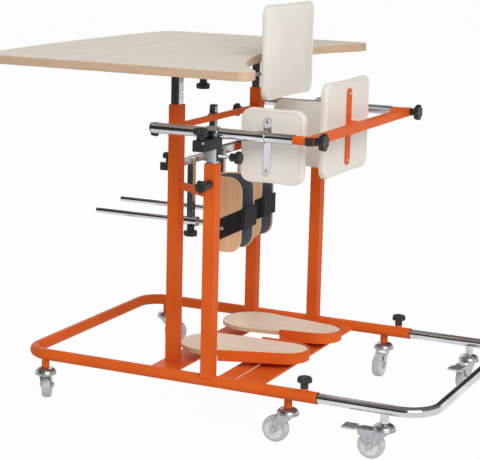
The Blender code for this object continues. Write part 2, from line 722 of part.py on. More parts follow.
def table_outline():
    """The board's outline: bowed front edge, rounded corners and tips, and the wide arc for the user."""
    side_front = TABLE_FRONT_Y - TABLE_BOW
    front = []
    for step in range(1, FRONT_STEPS):
        x = TABLE_HALF_W * (1 - 2 * step / FRONT_STEPS)
        front.append((x, TABLE_FRONT_Y - TABLE_BOW * (x / TABLE_HALF_W) ** 2, 0))
    left = Vector((-NOTCH_HALF_W, TIP_Y[0]))
    right = Vector((NOTCH_HALF_W, TIP_Y[1]))
    half = (right - left) / 2
    inward = Vector((-half.y, half.x)).normalized()
    middle = (left + right) / 2 - inward * math.sqrt(NOTCH_R**2 - half.length_squared)
    reach = math.asin(half.length / NOTCH_R)
    lean = math.atan2(inward.x, inward.y)
    notch = []
    for step in range(1, NOTCH_STEPS):
        angle = lean + reach * (2 * step / NOTCH_STEPS - 1)
        notch.append((middle.x + NOTCH_R * math.sin(angle), middle.y + NOTCH_R * math.cos(angle), 0))
    corners = [(TABLE_HALF_W, side_front, TABLE_CORNER_R), *front]
    corners += [(-TABLE_HALF_W, side_front, TABLE_CORNER_R), (-TABLE_HALF_W, left.y, TIP_R)]
    corners += [(left.x, left.y, TIP_R), *notch]
    corners += [(right.x, right.y, TIP_R), (TABLE_HALF_W, right.y, TIP_R)]
    return rounded(corners)


def make_table(board, chrome, black):
    place("table_top", mesh_of(prism(table_outline(), TABLE_BOTTOM, TABLE_TOP)), board)
    bodies = []
    cuts = []
    rail_end = FRONT_COLUMN_X + UNDER_RAIL_END
    rail_low = (-rail_end, FRONT_COLUMN_Y - UNDER_RAIL_W / 2, UNDER_RAIL_BOTTOM)
    rail_high = (rail_end, FRONT_COLUMN_Y + UNDER_RAIL_W / 2, UNDER_RAIL_TOP)
    bodies.append(box(rail_low, rail_high))
    wall = Vector((-OVERLAP, UNDER_RAIL_WALL, UNDER_RAIL_WALL))
    cuts.append(box(Vector(rail_low) + wall, Vector(rail_high) - wall))
    guide_half = SLIDER_W / 2 + SLIDE_GAP + GUIDE_WALL
    guide_front = GUIDE_REAR_Y + GUIDE_L
    guide_top = UNDER_RAIL_BOTTOM + OVERLAP
    bodies.append(box((-guide_half, GUIDE_REAR_Y, GUIDE_BOTTOM), (guide_half, guide_front, guide_top)))
    bore_half = SLIDER_W / 2 + SLIDE_GAP
    bore_low = (-bore_half, GUIDE_REAR_Y - OVERLAP, SLIDER_BOTTOM - SLIDE_GAP)
    bore_high = (bore_half, guide_front + OVERLAP, SLIDER_BOTTOM + SLIDER_T + SLIDE_GAP)
    cuts.append(box(bore_low, bore_high))
    leg_bottom = FRONT_COLUMN_TOP - LEG_OVERLAP
    for _, _, sign in SIDES:
        x = sign * FRONT_COLUMN_X
        bodies.append(square_tube(x, FRONT_COLUMN_Y, leg_bottom, UNDER_RAIL_BOTTOM + OVERLAP, LEG))
        hollow = LEG - 2 * LEG_WALL
        cuts.append(square_tube(x, FRONT_COLUMN_Y, leg_bottom - OVERLAP, UNDER_RAIL_BOTTOM, hollow))
    hole = (0, CHEST_KNOB_Y, GUIDE_BOTTOM - OVERLAP)
    cuts.append(rod(hole, (0, CHEST_KNOB_Y, SLIDER_BOTTOM), 2 * STUD_HOLE_R))
    place("table_frame", shaped(bodies, cuts), chrome)

    plate_rear = CHEST_PAD_BACK_Y + SEAT_GAP
    plate_low = (-CHEST_PLATE_W / 2, plate_rear, SLIDER_BOTTOM)
    plate_high = (CHEST_PLATE_W / 2, plate_rear + CHEST_PLATE_T, TABLE_TOP + CHEST_PLATE_RISE)
    bar_low = (-SLIDER_W / 2, plate_rear + CHEST_PLATE_T / 2, SLIDER_BOTTOM)
    bar_high = (SLIDER_W / 2, SLIDER_FRONT_Y, SLIDER_BOTTOM + SLIDER_T)
    place("chest_slider", shaped([box(plate_low, plate_high), box(bar_low, bar_high)]), chrome)

    stud_l = GUIDE_WALL + SLIDE_GAP
    seat = (0, CHEST_KNOB_Y, GUIDE_BOTTOM - SEAT_GAP)
    place("chest_knob", knob_mesh(stud_l, hub_l=CHEST_HUB_L), black, seat, facing((0, 0, -1)))


def make_pads(vinyl):
    """Chest and rear pad face each other, and the hip pads face inwards."""
    upright = Matrix.Rotation(math.radians(90), 3, "X")
    chest = mesh_of(cushion(PAD_W, PAD_H, PAD_T, PAD_CORNER_R))
    place("chest_pad", chest, vinyl, (0, CHEST_PAD_BACK_Y, TABLE_TOP + CHEST_PAD_RISE), upright)
    about = Matrix.Rotation(math.pi, 3, "Z")
    place("rear_pad", chest, vinyl, (0, REAR_PAD_BACK_Y, RAIL_Z - REAR_PAD_DROP), about @ upright)
    hip = mesh_of(cushion(HIP_PAD_L, HIP_PAD_H, HIP_PAD_T, HIP_CORNER_R))
    for k, side, sign in SIDES:
        turn = Matrix.Rotation(-sign * math.pi / 2, 3, "Z") @ upright
        x = sign * (SIDE_X - RAIL_D / 2 - HIP_REACH[k])
        place("hip_pad_" + side, hip, vinyl, (x, HIP_PAD_Y[k], RAIL_Z - HIP_PAD_DROP[k]), turn)


def make_pelvic_support(chrome, black):
    """Posts with a collar round the rail and a clamp block outside it, their knobs, rails and brackets."""
    post_bottom = REAR_COLUMN_TOP - POST_OVERLAP
    bore_d = RAIL_D + 2 * SLIDE_GAP
    head_front = REAR_COLUMN_Y + HEAD_L / 2
    head_rear = REAR_COLUMN_Y - HEAD_L / 2
    head_knob_z = HEAD_BOTTOM + HEAD_KNOB_RISE
    hole_d = 2 * STUD_HOLE_R
    rail_knob = knob_mesh(HEAD_STUD_L)
    head_knob = knob_mesh(HEAD_STUD_L, HEAD_KNOB_STEM_L, head_d=SMALL_KNOB_D)
    for k, side, sign in SIDES:
        x = sign * SIDE_X
        head_low = (x - HEAD_W / 2, head_rear, HEAD_BOTTOM)
        collar_ends = [(x, REAR_COLUMN_Y + step, RAIL_Z) for step in (-COLLAR_L / 2, COLLAR_L / 2)]
        clamp_x = sorted((x, x + sign * CLAMP_REACH))
        clamp_low = (clamp_x[0], CLAMP_Y - CLAMP_L / 2, CLAMP_TOP - CLAMP_H)
        bodies = [
            box(head_low, (x + HEAD_W / 2, head_front, RAIL_Z)),
            rod(*collar_ends, bore_d + 2 * COLLAR_WALL, TUBE_SIDES),
            box(clamp_low, (clamp_x[1], CLAMP_Y + CLAMP_L / 2, CLAMP_TOP)),
            square_tube(x, REAR_COLUMN_Y, post_bottom, HEAD_BOTTOM + OVERLAP, LEG),
        ]
        deep = HEAD_STUD_L + SEAT_GAP
        knob_x = x + sign * RAIL_KNOB_REACH
        cuts = [
            rod((x, head_rear - OVERLAP, RAIL_Z), (x, head_front + OVERLAP, RAIL_Z), bore_d, TUBE_SIDES),
            square_tube(x, REAR_COLUMN_Y, post_bottom - OVERLAP, HEAD_BOTTOM, LEG - 2 * LEG_WALL),
            rod((knob_x, RAIL_KNOB_Y, CLAMP_TOP - deep), (knob_x, RAIL_KNOB_Y, RAIL_Z), hole_d),
            rod((x, head_rear + deep, head_knob_z), (x, head_rear - OVERLAP, head_knob_z), hole_d),
        ]
        place("rail_post_" + side, shaped(bodies, cuts), chrome)
        seat = (knob_x, RAIL_KNOB_Y, CLAMP_TOP + SEAT_GAP)
        place("rail_knob_" + side, rail_knob, black, seat, facing((0, 0, 1)))
        seat = (x, head_rear - SEAT_GAP, head_knob_z)
        place("head_knob_" + side, head_knob, black, seat, facing((0, -1, 0)))
        outside = rod((x, RAIL_FRONT_Y, RAIL_Z), (x, RAIL_REAR_Y, RAIL_Z), RAIL_D, TUBE_SIDES)
        inside_ends = [(x, RAIL_FRONT_Y + OVERLAP, RAIL_Z), (x, RAIL_REAR_Y - OVERLAP, RAIL_Z)]
        inside = rod(*inside_ends, RAIL_D - 2 * RAIL_WALL, TUBE_SIDES)
        place("side_rail_" + side, shaped([outside], [inside]), chrome)
        make_hip_bracket(k, side, sign, chrome)


def make_hip_bracket(k, side, sign, chrome):
    """A ring on the rail, a web and the strip that the hip pad is screwed to."""
    x = sign * SIDE_X
    y = HIP_RING_Y[k]
    bore_d = RAIL_D + 2 * SLIDE_GAP
    ring_d = bore_d + 2 * HIP_RING_WALL
    pad_x = sign * (SIDE_X - RAIL_D / 2 - HIP_REACH[k])
    strip_x = sorted((pad_x + sign * SEAT_GAP, pad_x + sign * (SEAT_GAP + STRIP_T)))
    web_x = sorted((strip_x[0] + STRIP_T / 2, x))
    strip_top = RAIL_Z + HIP_STRIP_RISE[k]
    half = HIP_STRIP_W / 2
    ends = [(x, y + step, RAIL_Z) for step in (-HIP_RING_L / 2, HIP_RING_L / 2)]
    long_ends = [(x, y + step, RAIL_Z) for step in (-HIP_RING_L, HIP_RING_L)]
    web_low = (web_x[0], y - HIP_WEB_T / 2, RAIL_Z - HIP_WEB_H / 2)
    bodies = [
        rod(*ends, ring_d, TUBE_SIDES),
        box(web_low, (web_x[1], y + HIP_WEB_T / 2, RAIL_Z + HIP_WEB_H / 2)),
        box((strip_x[0], y - half, strip_top - HIP_STRIP_L), (strip_x[1], y + half, strip_top)),
    ]
    mesh = shaped(bodies, [rod(*long_ends, bore_d, TUBE_SIDES)])
    place("hip_bracket_" + side, mesh, chrome)


def make_gate(orange, black):
    bar_end = SIDE_X + GATE_OVERHANG
    bar_low = (-bar_end, GATE_REAR_Y, RAIL_Z - GATE_BAR / 2)
    bodies = [box(bar_low, (bar_end, GATE_FRONT_Y, RAIL_Z + GATE_BAR / 2))]
    strip_front = REAR_PAD_BACK_Y - SEAT_GAP
    strip_rear = strip_front - STRIP_T
    middle = RAIL_Z - REAR_PAD_DROP
    strip_low = (-GATE_STRIP_W / 2, strip_rear, middle - GATE_STRIP_L / 2)
    bodies.append(box(strip_low, (GATE_STRIP_W / 2, strip_front, middle + GATE_STRIP_L / 2)))
    spacer_half = GATE_SPACER_W / 2
    spacer_low = (-spacer_half, GATE_FRONT_Y - OVERLAP, RAIL_Z - GATE_BAR / 2 + OVERLAP)
    spacer_high = (spacer_half, strip_front - STRIP_T / 2, RAIL_Z + GATE_BAR / 2 - OVERLAP)
    bodies.append(box(spacer_low, spacer_high))
    cuts = []
    gate_knob = knob_mesh(GATE_STUD_L, head_d=GATE_KNOB_D)
    for _, side, sign in SIDES:
        x = sign * SIDE_X
        arm_front = RAIL_REAR_Y + ARM_INSERT
        bodies.append(rod((x, arm_front, RAIL_Z), (x, GATE_FRONT_Y - OVERLAP, RAIL_Z), ARM_D, TUBE_SIDES))
        hole_end = (x, GATE_REAR_Y + GATE_STUD_L + SEAT_GAP, RAIL_Z)
        cuts.append(rod((x, GATE_REAR_Y - OVERLAP, RAIL_Z), hole_end, 2 * STUD_HOLE_R))
        seat = (x, GATE_REAR_Y - SEAT_GAP, RAIL_Z)
        place("gate_knob_" + side, gate_knob, black, seat, facing((0, -1, 0)))
    place("gate_bar", shaped(bodies, cuts), orange)


def make_knobs(black):
    """Knobs that lock the columns and the rear extension, each seated on its wall."""
    post_knob = knob_mesh(WALL_STUD_L, hub_l=POST_HUB_L, head_d=SMALL_KNOB_D)
    table_knob = knob_mesh(WALL_STUD_L, hub_l=TABLE_HUB_L)
    boss_knob = knob_mesh(BOSS_H + TUBE_WALL + SLIDE_GAP)
    boss_top = TUBE_Z + TUBE_D / 2 + BOSS_H
    for _, side, sign in SIDES:
        y = FRONT_COLUMN_Y + COLUMN / 2 + SEAT_GAP
        seat = (sign * FRONT_COLUMN_X, y, FRONT_COLUMN_TOP - TABLE_KNOB_DROP)
        place("table_knob_" + side, table_knob, black, seat, facing((0, 1, 0)))
        x = sign * (SIDE_X + COLUMN / 2 + SEAT_GAP)
        seat = (x, REAR_COLUMN_Y, REAR_COLUMN_TOP - POST_KNOB_DROP)
        place("post_knob_" + side, post_knob, black, seat, facing((sign, 0, 0)))
        seat = (sign * SIDE_X, EXTENSION_KNOB_Y, boss_top + SEAT_GAP)
        place("extension_knob_" + side, boss_knob, black, seat, facing((0, 0, 1)))


def make_knee_hanger(chrome, black):
    """A post in the guide, a hollow cross bar with a fixed knob near each end, and two drop bars."""
    half = HANGER_BAR / 2
    bodies = [square_tube(0, HANGER_Y, HANGER_Z - half, CROSS_BAR_Z + HANGER_POST_RISE, HANGER_BAR)]
    cross_half = HANGER_CROSS / 2
    cross_y = HANGER_Y + half + cross_half - OVERLAP
    low = Vector((-HANGER_HALF_W, cross_y - cross_half, HANGER_Z - cross_half))
    high = Vector((HANGER_HALF_W, cross_y + cross_half, HANGER_Z + cross_half))
    bodies.append(box(low, high))
    wall = Vector((-OVERLAP, HANGER_CROSS_WALL, HANGER_CROSS_WALL))
    cuts = [box(low + wall, high - wall)]
    sleeve_y = (HANGER_Y - ROD_SLEEVE_L / 2, HANGER_Y + ROD_SLEEVE_L / 2)
    rod_knob = knob_mesh(ROD_SLEEVE_WALL + SLIDE_GAP)
    for k, side, sign in SIDES:
        knob = knob_body(OVERLAP, hub_l=HANGER_HUB_L)
        knob.transform(Matrix.Translation((sign * HANGER_KNOB_X, cross_y, high.z)))
        bodies.append(knob)
        x = KNEE_X[k]
        bodies.append(square_tube(x, HANGER_Y, ROD_Z, HANGER_Z + half, HANGER_BAR))
        bodies.append(rod((x, sleeve_y[0], ROD_Z), (x, sleeve_y[1], ROD_Z), ROD_SLEEVE_D, TUBE_SIDES))
        bore_d = ROD_D + 2 * SLIDE_GAP
        ends = [(x, sleeve_y[0] - OVERLAP, ROD_Z), (x, sleeve_y[1] + OVERLAP, ROD_Z)]
        cuts.append(rod(*ends, bore_d, TUBE_SIDES))
        hole_end = (x, HANGER_Y, ROD_Z - ROD_SLEEVE_D / 2 - OVERLAP)
        cuts.append(rod((x, HANGER_Y, ROD_Z), hole_end, 2 * STUD_HOLE_R))
        seat = (x, HANGER_Y, ROD_Z - ROD_SLEEVE_D / 2 - SEAT_GAP)
        place("rod_knob_" + side, rod_knob, black, seat, facing((0, 0, -1)))
    place("knee_hanger", shaped(bodies, cuts), chrome)


def cup_path():
    """Centre line of the cup's shell from wing edge to wing edge, with the outward directions."""
    radius = CUP_R - CUP_WALL / 2
    wing_steps = [CUP_WING - CUP_CORNER_R * share for share in CUP_CORNER_SHARES]
    path = [(Vector((-radius, -y)), Vector((-1, 0))) for y in wing_steps]
    for step in range(CUP_TURNS + 1):
        angle = math.pi - math.pi * step / CUP_TURNS
        out = Vector((math.cos(angle), math.sin(angle)))
        path.append((out * radius, out))
    path += [(Vector((radius, -y)), Vector((1, 0))) for y in reversed(wing_steps)]
    return path


def strap_path():
    """Centre line of the strap: along one wing, across the open back and along the other wing."""
    reach = CUP_R + SEAT_GAP + STRAP_T / 2
    back = CUP_WING + STRAP_CORNER_R
    corners = [(-reach, STRAP_FRONT, 0), (-reach, -back, STRAP_CORNER_R), (reach, -back, STRAP_CORNER_R)]
    points = rounded([*corners, (reach, STRAP_FRONT, 0)])
    path = []
    for k, point in enumerate(points):
        along = points[min(k + 1, len(points) - 1)] - points[max(k - 1, 0)]
        path.append((point, Vector((along.y, -along.x)).normalized()))
    return path


def make_knees(chrome, plywood, webbing):
    wall = CUP_WALL / 2
    path = cup_path()

    def corner_drop(k):
        """How much the wing's rounded corner takes off the height at a path point."""
        from_edge = CUP_WING + path[k][0].y
        short = min(max(CUP_CORNER_R - from_edge, 0), CUP_CORNER_R)
        return CUP_CORNER_R - math.sqrt(CUP_CORNER_R**2 - short**2)

    cup = mesh_of(
        band(path, -wall, wall, lambda k: corner_drop(k) - CUP_H / 2, lambda k: CUP_H / 2 - corner_drop(k))
    )
    loop = strap_path()
    half = STRAP_T / 2
    strap = mesh_of(
        band(
            loop,
            -half,
            half,
            lambda k: -STRAP_DROP - STRAP_SLOPE * loop[k][0].y - STRAP_W / 2,
            lambda k: -STRAP_DROP - STRAP_SLOPE * loop[k][0].y + STRAP_W / 2,
        )
    )
    for k, side, _ in SIDES:
        x = KNEE_X[k]
        shift = KNEE_FORWARD[k]
        rear = ROD_REAR_Y + shift
        bar = rod((x, ROD_FRONT_Y + shift, ROD_Z), (x, rear - CUP_PLATE_T / 2, ROD_Z), ROD_D, TUBE_SIDES)
        plate_low = (x - CUP_PLATE_W / 2, rear - CUP_PLATE_T, ROD_Z - CUP_PLATE_H / 2)
        plate = box(plate_low, (x + CUP_PLATE_W / 2, rear, ROD_Z + CUP_PLATE_H / 2))
        place("knee_rod_" + side, shaped([bar, plate]), chrome)
        middle = (x, CUP_FRONT_Y + shift - CUP_R, CUP_Z)
        place("knee_cup_" + side, cup, plywood, middle)
        place("knee_strap_" + side, strap, webbing, middle)


def foot_outline(grow=0.0, cuts=None):
    """The board's outline round its stud: heel and wider toe arc, or the heel up to a cut on each side."""
    gap = HEEL_BACK + TOE_FORWARD
    lean = math.asin((TOE_R - HEEL_R) / gap)
    heel = []
    for step in range(HEEL_STEPS + 1):
        angle = math.pi + lean + (math.pi - 2 * lean) * step / HEEL_STEPS
        reach = HEEL_R + grow
        heel.append(Vector((reach * math.cos(angle), reach * math.sin(angle) - HEEL_BACK)))
    if cuts:
        flare = [math.tan(lean) * (cut - heel[0].y) for cut in cuts]
        first = Vector((heel[0].x - flare[0], cuts[0]))
        return [first, *heel, Vector((heel[-1].x + flare[1], cuts[1]))]
    toe = []
    for step in range(TOE_STEPS + 1):
        angle = -lean + (math.pi + 2 * lean) * step / TOE_STEPS
        reach = TOE_R + grow
        toe.append(Vector((reach * math.cos(angle), reach * math.sin(angle) + TOE_FORWARD)))
    return heel + toe


def heel_cup(cuts):
    """Tray, skirt round the heel and the block that rides on the slotted plate, round the stud's axis."""
    inner = foot_outline(SEAT_GAP, cuts)
    outer = foot_outline(SEAT_GAP + SKIRT_T, cuts)
    low = TRAY_BOTTOM - SKIRT_DOWN
    high = BOARD_TOP + SKIRT_UP
    rings = [
        [(a.x, a.y, low), (b.x, b.y, low), (b.x, b.y, high), (a.x, a.y, high)] for a, b in zip(inner, outer)
    ]
    tray = foot_outline(SEAT_GAP + SKIRT_T / 2, [cut - OVERLAP for cut in cuts])
    half_w = FOOT_BLOCK_W / 2
    half_l = FOOT_BLOCK_L / 2
    bodies = [
        prism(tray, TRAY_BOTTOM, TRAY_BOTTOM + TRAY_T),
        skin(rings),
        box((-half_w, -half_l, FOOT_BLOCK_BOTTOM), (half_w, half_l, TRAY_BOTTOM + OVERLAP)),
    ]
    hole = rod(
        (0, 0, FOOT_BLOCK_BOTTOM - OVERLAP),
        (0, 0, FOOT_BLOCK_BOTTOM + FOOT_STUD_L + SEAT_GAP),
        2 * STUD_HOLE_R,
    )
    return shaped(bodies, [hole])


def make_feet(orange, wood, black):
    board = mesh_of(prism(foot_outline(), BOARD_BOTTOM, BOARD_TOP))
    cups = (heel_cup((SKIRT_OUTER, SKIRT_INNER)), heel_cup((SKIRT_INNER, SKIRT_OUTER)))
    foot_knob = knob_mesh(SEAT_GAP + PLATE_T + SEAT_GAP + FOOT_STUD_L)
    for k, side, _ in SIDES:
        turn = Matrix.Rotation(math.radians(FOOT_TURN_DEG[k]), 3, "Z")
        stud = (FOOT_STUD_X[k], SLOT_Y, 0)
        place("foot_board_" + side, board, wood, stud, turn)
        place("heel_cup_" + side, cups[k], orange, stud, turn)
        seat = (FOOT_STUD_X[k], SLOT_Y, PLATE_BOTTOM - SEAT_GAP)
        place("foot_knob_" + side, foot_knob, black, seat, facing((0, 0, -1)))


def main():
    for thing in list(bpy.data.objects):
        bpy.data.objects.remove(thing)
    orange = principled("orange_paint", "D95A24", 0.38, 0.0)
    chrome = principled("chrome", "D8D8DA", 0.12, 1.0)
    steel = principled("zinc_steel", "B9BBBE", 0.35, 1.0)
    wheel_grey = principled("grey_tyre", "B8B8BA", 0.55, 0.0)
    black = principled("black_plastic", "1E1F1E", 0.45, 0.0)
    board = principled("table_laminate", "DDD2C4", 0.5, 0.0)
    wood = principled("foot_board_wood", "E0C6A8", 0.55, 0.0)
    plywood = principled("bent_plywood", "CF9A66", 0.5, 0.0)
    vinyl = principled("white_vinyl", "E2DED6", 0.5, 0.0)
    webbing = principled("black_webbing", "262324", 0.85, 0.0)
    make_base_frame(orange)
    make_rear_extension(chrome)
    make_upright_frame(orange)
    make_castors(chrome, wheel_grey, steel)
    make_table(board, chrome, black)
    make_pads(vinyl)
    make_pelvic_support(chrome, black)
    make_gate(orange, black)
    make_knobs(black)
    make_knee_hanger(chrome, black)
    make_knees(chrome, plywood, webbing)
    make_feet(orange, wood, black)


main()
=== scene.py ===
"""Looks of a rolling standing frame with a work table.

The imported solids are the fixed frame. Metal and boards get softened edges and finishes, and the pads,
straps, linings, knobs, wheels and small fittings are modelled here. Metres, +Z up, +Y the way the user
faces, -X the user's left.
"""

import json
from math import atan2, copysign, cos, pi, radians, sin, sqrt, tau

import bmesh
import bpy
from mathutils import Matrix, Vector, noise

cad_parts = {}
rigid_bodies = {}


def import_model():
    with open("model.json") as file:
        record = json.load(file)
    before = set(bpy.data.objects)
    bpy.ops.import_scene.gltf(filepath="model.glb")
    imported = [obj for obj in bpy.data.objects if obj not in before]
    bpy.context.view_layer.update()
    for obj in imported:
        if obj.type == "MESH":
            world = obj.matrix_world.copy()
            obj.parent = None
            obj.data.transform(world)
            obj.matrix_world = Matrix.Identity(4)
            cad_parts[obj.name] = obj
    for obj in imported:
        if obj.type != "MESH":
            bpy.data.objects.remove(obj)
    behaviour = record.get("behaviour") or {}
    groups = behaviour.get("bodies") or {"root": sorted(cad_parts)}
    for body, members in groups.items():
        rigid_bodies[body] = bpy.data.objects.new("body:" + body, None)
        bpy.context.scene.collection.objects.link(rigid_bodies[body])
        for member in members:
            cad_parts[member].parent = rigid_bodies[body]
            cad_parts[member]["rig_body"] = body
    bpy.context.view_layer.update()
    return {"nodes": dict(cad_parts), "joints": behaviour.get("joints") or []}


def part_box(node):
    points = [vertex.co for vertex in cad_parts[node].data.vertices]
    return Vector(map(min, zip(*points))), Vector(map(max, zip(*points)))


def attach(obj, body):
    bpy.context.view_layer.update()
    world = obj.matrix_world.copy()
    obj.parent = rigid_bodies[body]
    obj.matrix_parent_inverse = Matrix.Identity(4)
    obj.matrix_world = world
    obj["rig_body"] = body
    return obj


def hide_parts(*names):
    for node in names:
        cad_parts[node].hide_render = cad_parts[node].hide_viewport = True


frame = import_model()


def mm(*pairs):
    """Pairs written in millimetres, as metres."""
    return [(a / 1000, b / 1000) for a, b in pairs]


UP = Vector((0, 0, 1))
SIDES = (("left", -1), ("right", 1))

# Camera, set to the photograph's viewpoint
CAMERA_PLACE = Vector((-3.5983, -1.5938, 1.2356))
CAMERA_FORWARD = Vector((0.88887, 0.41244, -0.19956))
CAMERA_UP = Vector((0.17060, 0.10633, 0.97959))
LENS_MM = 117.39
SENSOR_MM = 36.0

# Stage
FLOOR_R = 60.0
FLOOR_SIDES = 96
FLOOR_WHITE = 0.82
FLOOR_GLOW = 0.96  # share of plain white in what the camera sees of the floor
AMBIENT = 0.50
AIM = Vector((0, 0, 0.5))
LAMPS = (  # name, place, size, watts
    ("key", (-2.6, -2.6, 3.0), 2.6, 115),
    ("fill", (2.8, 2.2, 2.6), 2.4, 30),
)
CARDS = (  # name, place, facing, half a side, grey
    ("ceiling", (0, 0, 3.6), (0, 0, -1), 6.0, 0.30),
    ("wall", (-4.4, 0.6, 2.5), (1, 0, 0), 2.2, 0.04),
    ("side", (-1.7, 1.95, 1.3), (1, 0, 0), 1.3, 0.05),
    ("far", (4.4, 0.4, 2.2), (-1, 0, 0), 1.9, 0.06),
)

# Tubes: the sizes that the solids are drawn with, and what shows at the open ends
TUBE_D = 0.0285
TUBE_WALL = 0.0012
BASE_BEND = 0.062
EXTENSION_D = 0.0245
EXTENSION_BEND = 0.075
RAIL_D = 0.025
CHROME_WALL = 0.0015
ROUND = 40  # sides of a round section
SMALL_ROUND = 20
BEND_STEPS = 14
BUSH_SPAN = (0.0004, -0.0016)  # along the sleeve, from its mouth
BUSH_PLAY = 0.0008
BUSH_WALL = 0.0022
SOCKET_FOOT = mm((5.6, 0), (9.2, 0), (10, 0.9))  # radius and height over the tube's underside
SOCKET_HEAD = mm((10, -10), (10.8, -8.5), (10, -4), (5.6, -4))  # radius and height over the tube's middle

# Softened edges
WELD = 1e-5
FLAT_DEG = 1.0
EDGE_DEG = 40
SMOOTH_DEG = 32
BOARD_SMOOTH_DEG = 45
PAD_SMOOTH_DEG = 60
SKIN = 0.0002  # how far a smooth skin stands off the facets below it
EDGE_R = {
    "base_frame": 0.0010, "upright_frame": 0.0007, "castor_fork": 0.0006, "brake_pedal": 0.0005,
    "table_top": 0.0014, "table_frame": 0.0012, "chest_slider": 0.0007, "rail_post": 0.0010,
    "hip_bracket": 0.0006, "gate_bar": 0.0010, "knee_hanger": 0.0010, "knee_rod": 0.0008,
    "foot_board": 0.0022, "heel_cup": 0.0007,
}
COLUMN_CORNER_R = 0.0032
COLUMN_CORNER_STEPS = 4
COLUMN_X = 0.2  # columns stand further out than this, other tall edges nearer
TALL_EDGE_L = 0.05
TALL_SHARE = 0.999  # of a tall edge's length that is height
BOARD_EDGE_STEPS = 3
BOARD_FLAT = 0.7  # least upward share of the normal on a board's flat faces
STRIP_CORNER_STEPS = 6
STRIP_T_MOST = 0.006

# Star knobs
KNOB_R = 0.018
SMALL_KNOB_R = 0.0155
GATE_KNOB_R = 0.021
KNOB_T = 0.015
KNOB_LEVELS = (  # shares of the radius and of the thickness
    (0.60, -1.0), (0.80, -0.96), (0.94, -0.88), (1.0, -0.76), (1.0, -0.30), (0.975, -0.16), (0.93, -0.07),
    (0.86, -0.02), (0.76, 0.0), (0.66, -0.015), (0.60, -0.05), (0.57, -0.09), (0.40, -0.10), (0.12, -0.075),
)
KNOB_LOBES = 7
KNOB_LOBE_DEPTH = 0.20
KNOB_LOBE_FROM = 0.55  # share of the radius where the lobes begin
KNOB_LOBE_OVER = 0.3
KNOB_LOBE_POWER = 1.5
KNOB_SEGMENTS = 84
HUB_R = 0.010
HUB_L = 0.012
LONG_HUB_L = 0.036
CHEST_HUB_L = 0.024
HUB_PROFILE = (  # share of the radius, share of the length from the head, step along it
    (0.80, -1, 0), (0.97, -1, 0), (1, -1, 0.0008), (0.96, -0.5, 0), (0.98, 0, -0.001), (1.15, 0, 0.0006),
)
STUD_R = 0.004
STUD_TIP = ((0.7, 0), (0.92, 0.0006))  # share of the radius, step from the end
STUD_THREAD_FROM = 0.0012
THREAD_PITCH = 0.00125
THREAD_DEPTH = 0.0004
KNOBS = (  # kind, way out on the right side, hub length, radius
    ("post", (1, 0, 0), LONG_HUB_L, SMALL_KNOB_R),
    ("extension", (0, 0, 1), HUB_L, KNOB_R),
    ("table", (0, 1, 0), LONG_HUB_L, KNOB_R),
    ("rail", (0, 0, 1), HUB_L, KNOB_R),
    ("head", (0, -1, 0), HUB_L, SMALL_KNOB_R),
    ("gate", (0, -1, 0), HUB_L, GATE_KNOB_R),
    ("rod", (0, 0, -1), HUB_L, KNOB_R),
    ("foot", (0, 0, -1), HUB_L, KNOB_R),
)

# Castors: profiles are (radius, place along the axis)
CASTORS = ("front_left", "front_right", "mid_left", "mid_right", "rear_left", "rear_right")
WHEEL_HALF_W = 0.011
WHEEL_SIDES = 56
WHEEL_SIDE_GAP = 0.0015
WHEEL_HUB = mm(
    (4.3, 11), (8.2, 11), (9, 10.4), (9.6, 8.2), (13, 7.4), (20.5, 7.6), (22.2, 8.6), (22.8, 9.8), (23.6, 10),
)
WHEEL_TYRE = mm(
    (23.9, 9.2), (24.6, 10.4), (26.2, 11), (28.6, 11), (30.4, 10.3), (31.6, 8.8), (32.2, 6.2), (32.5, 2)
)
FORK_T = 0.002
AXLE_WASHER = mm((7.44, 0), (7.44, 0.7), (6.2, 0.9))
AXLE_HEX = mm((6.014, 0.7), (6.2, 1.2), (6.2, 2.6), (5.332, 3.4))
WASHER_SIDES = 28
DOME_H = 0.018
DOME_GAP = 0.0003
DOME = mm(
    (10, 0.2), (26.2, 0), (27.3, 1), (27.3, 3.4), (26.4, 4.2), (25.6, 4.6), (25.6, 5.4), (26.6, 6),
    (26.2, 7.8), (24.9, 10.4), (22.6, 13), (19, 15.3), (15, 16.8), (12.2, 17.4), (11.3, 17.9), (10, 18),
)

# Screws, caps and plugs
SCREW_PROFILE = (  # shares of the radius and of the height
    (1, -0.2), (1, 0.25), (0.93, 0.55), (0.72, 0.86), (0.42, 1), (0.30, 0.98), (0.26, 0.35), (0.05, 0.25),
)
SCREW_RISE = 0.55  # height for a radius of 1
STRIP_SCREW_OUT = 0.0033  # from the back of a pad, over the strip that holds it
CAP_GAP = 0.0001
CAP_T = 0.0026

# Table
CHEST_SCREW_R = 0.0045
CHEST_SCREW_DROPS = (0.018, 0.060)
CHEST_PLATE_T = 0.004
UNDER_RAIL_Y = (0.1234, 0.1634)
UNDER_RAIL_H = 0.025
UNDER_RAIL_WALL = 0.0022
UNDER_PLUG_SPAN = (0.0008, -0.0052)
UNDER_PLUG_EDGE_R = 0.0008

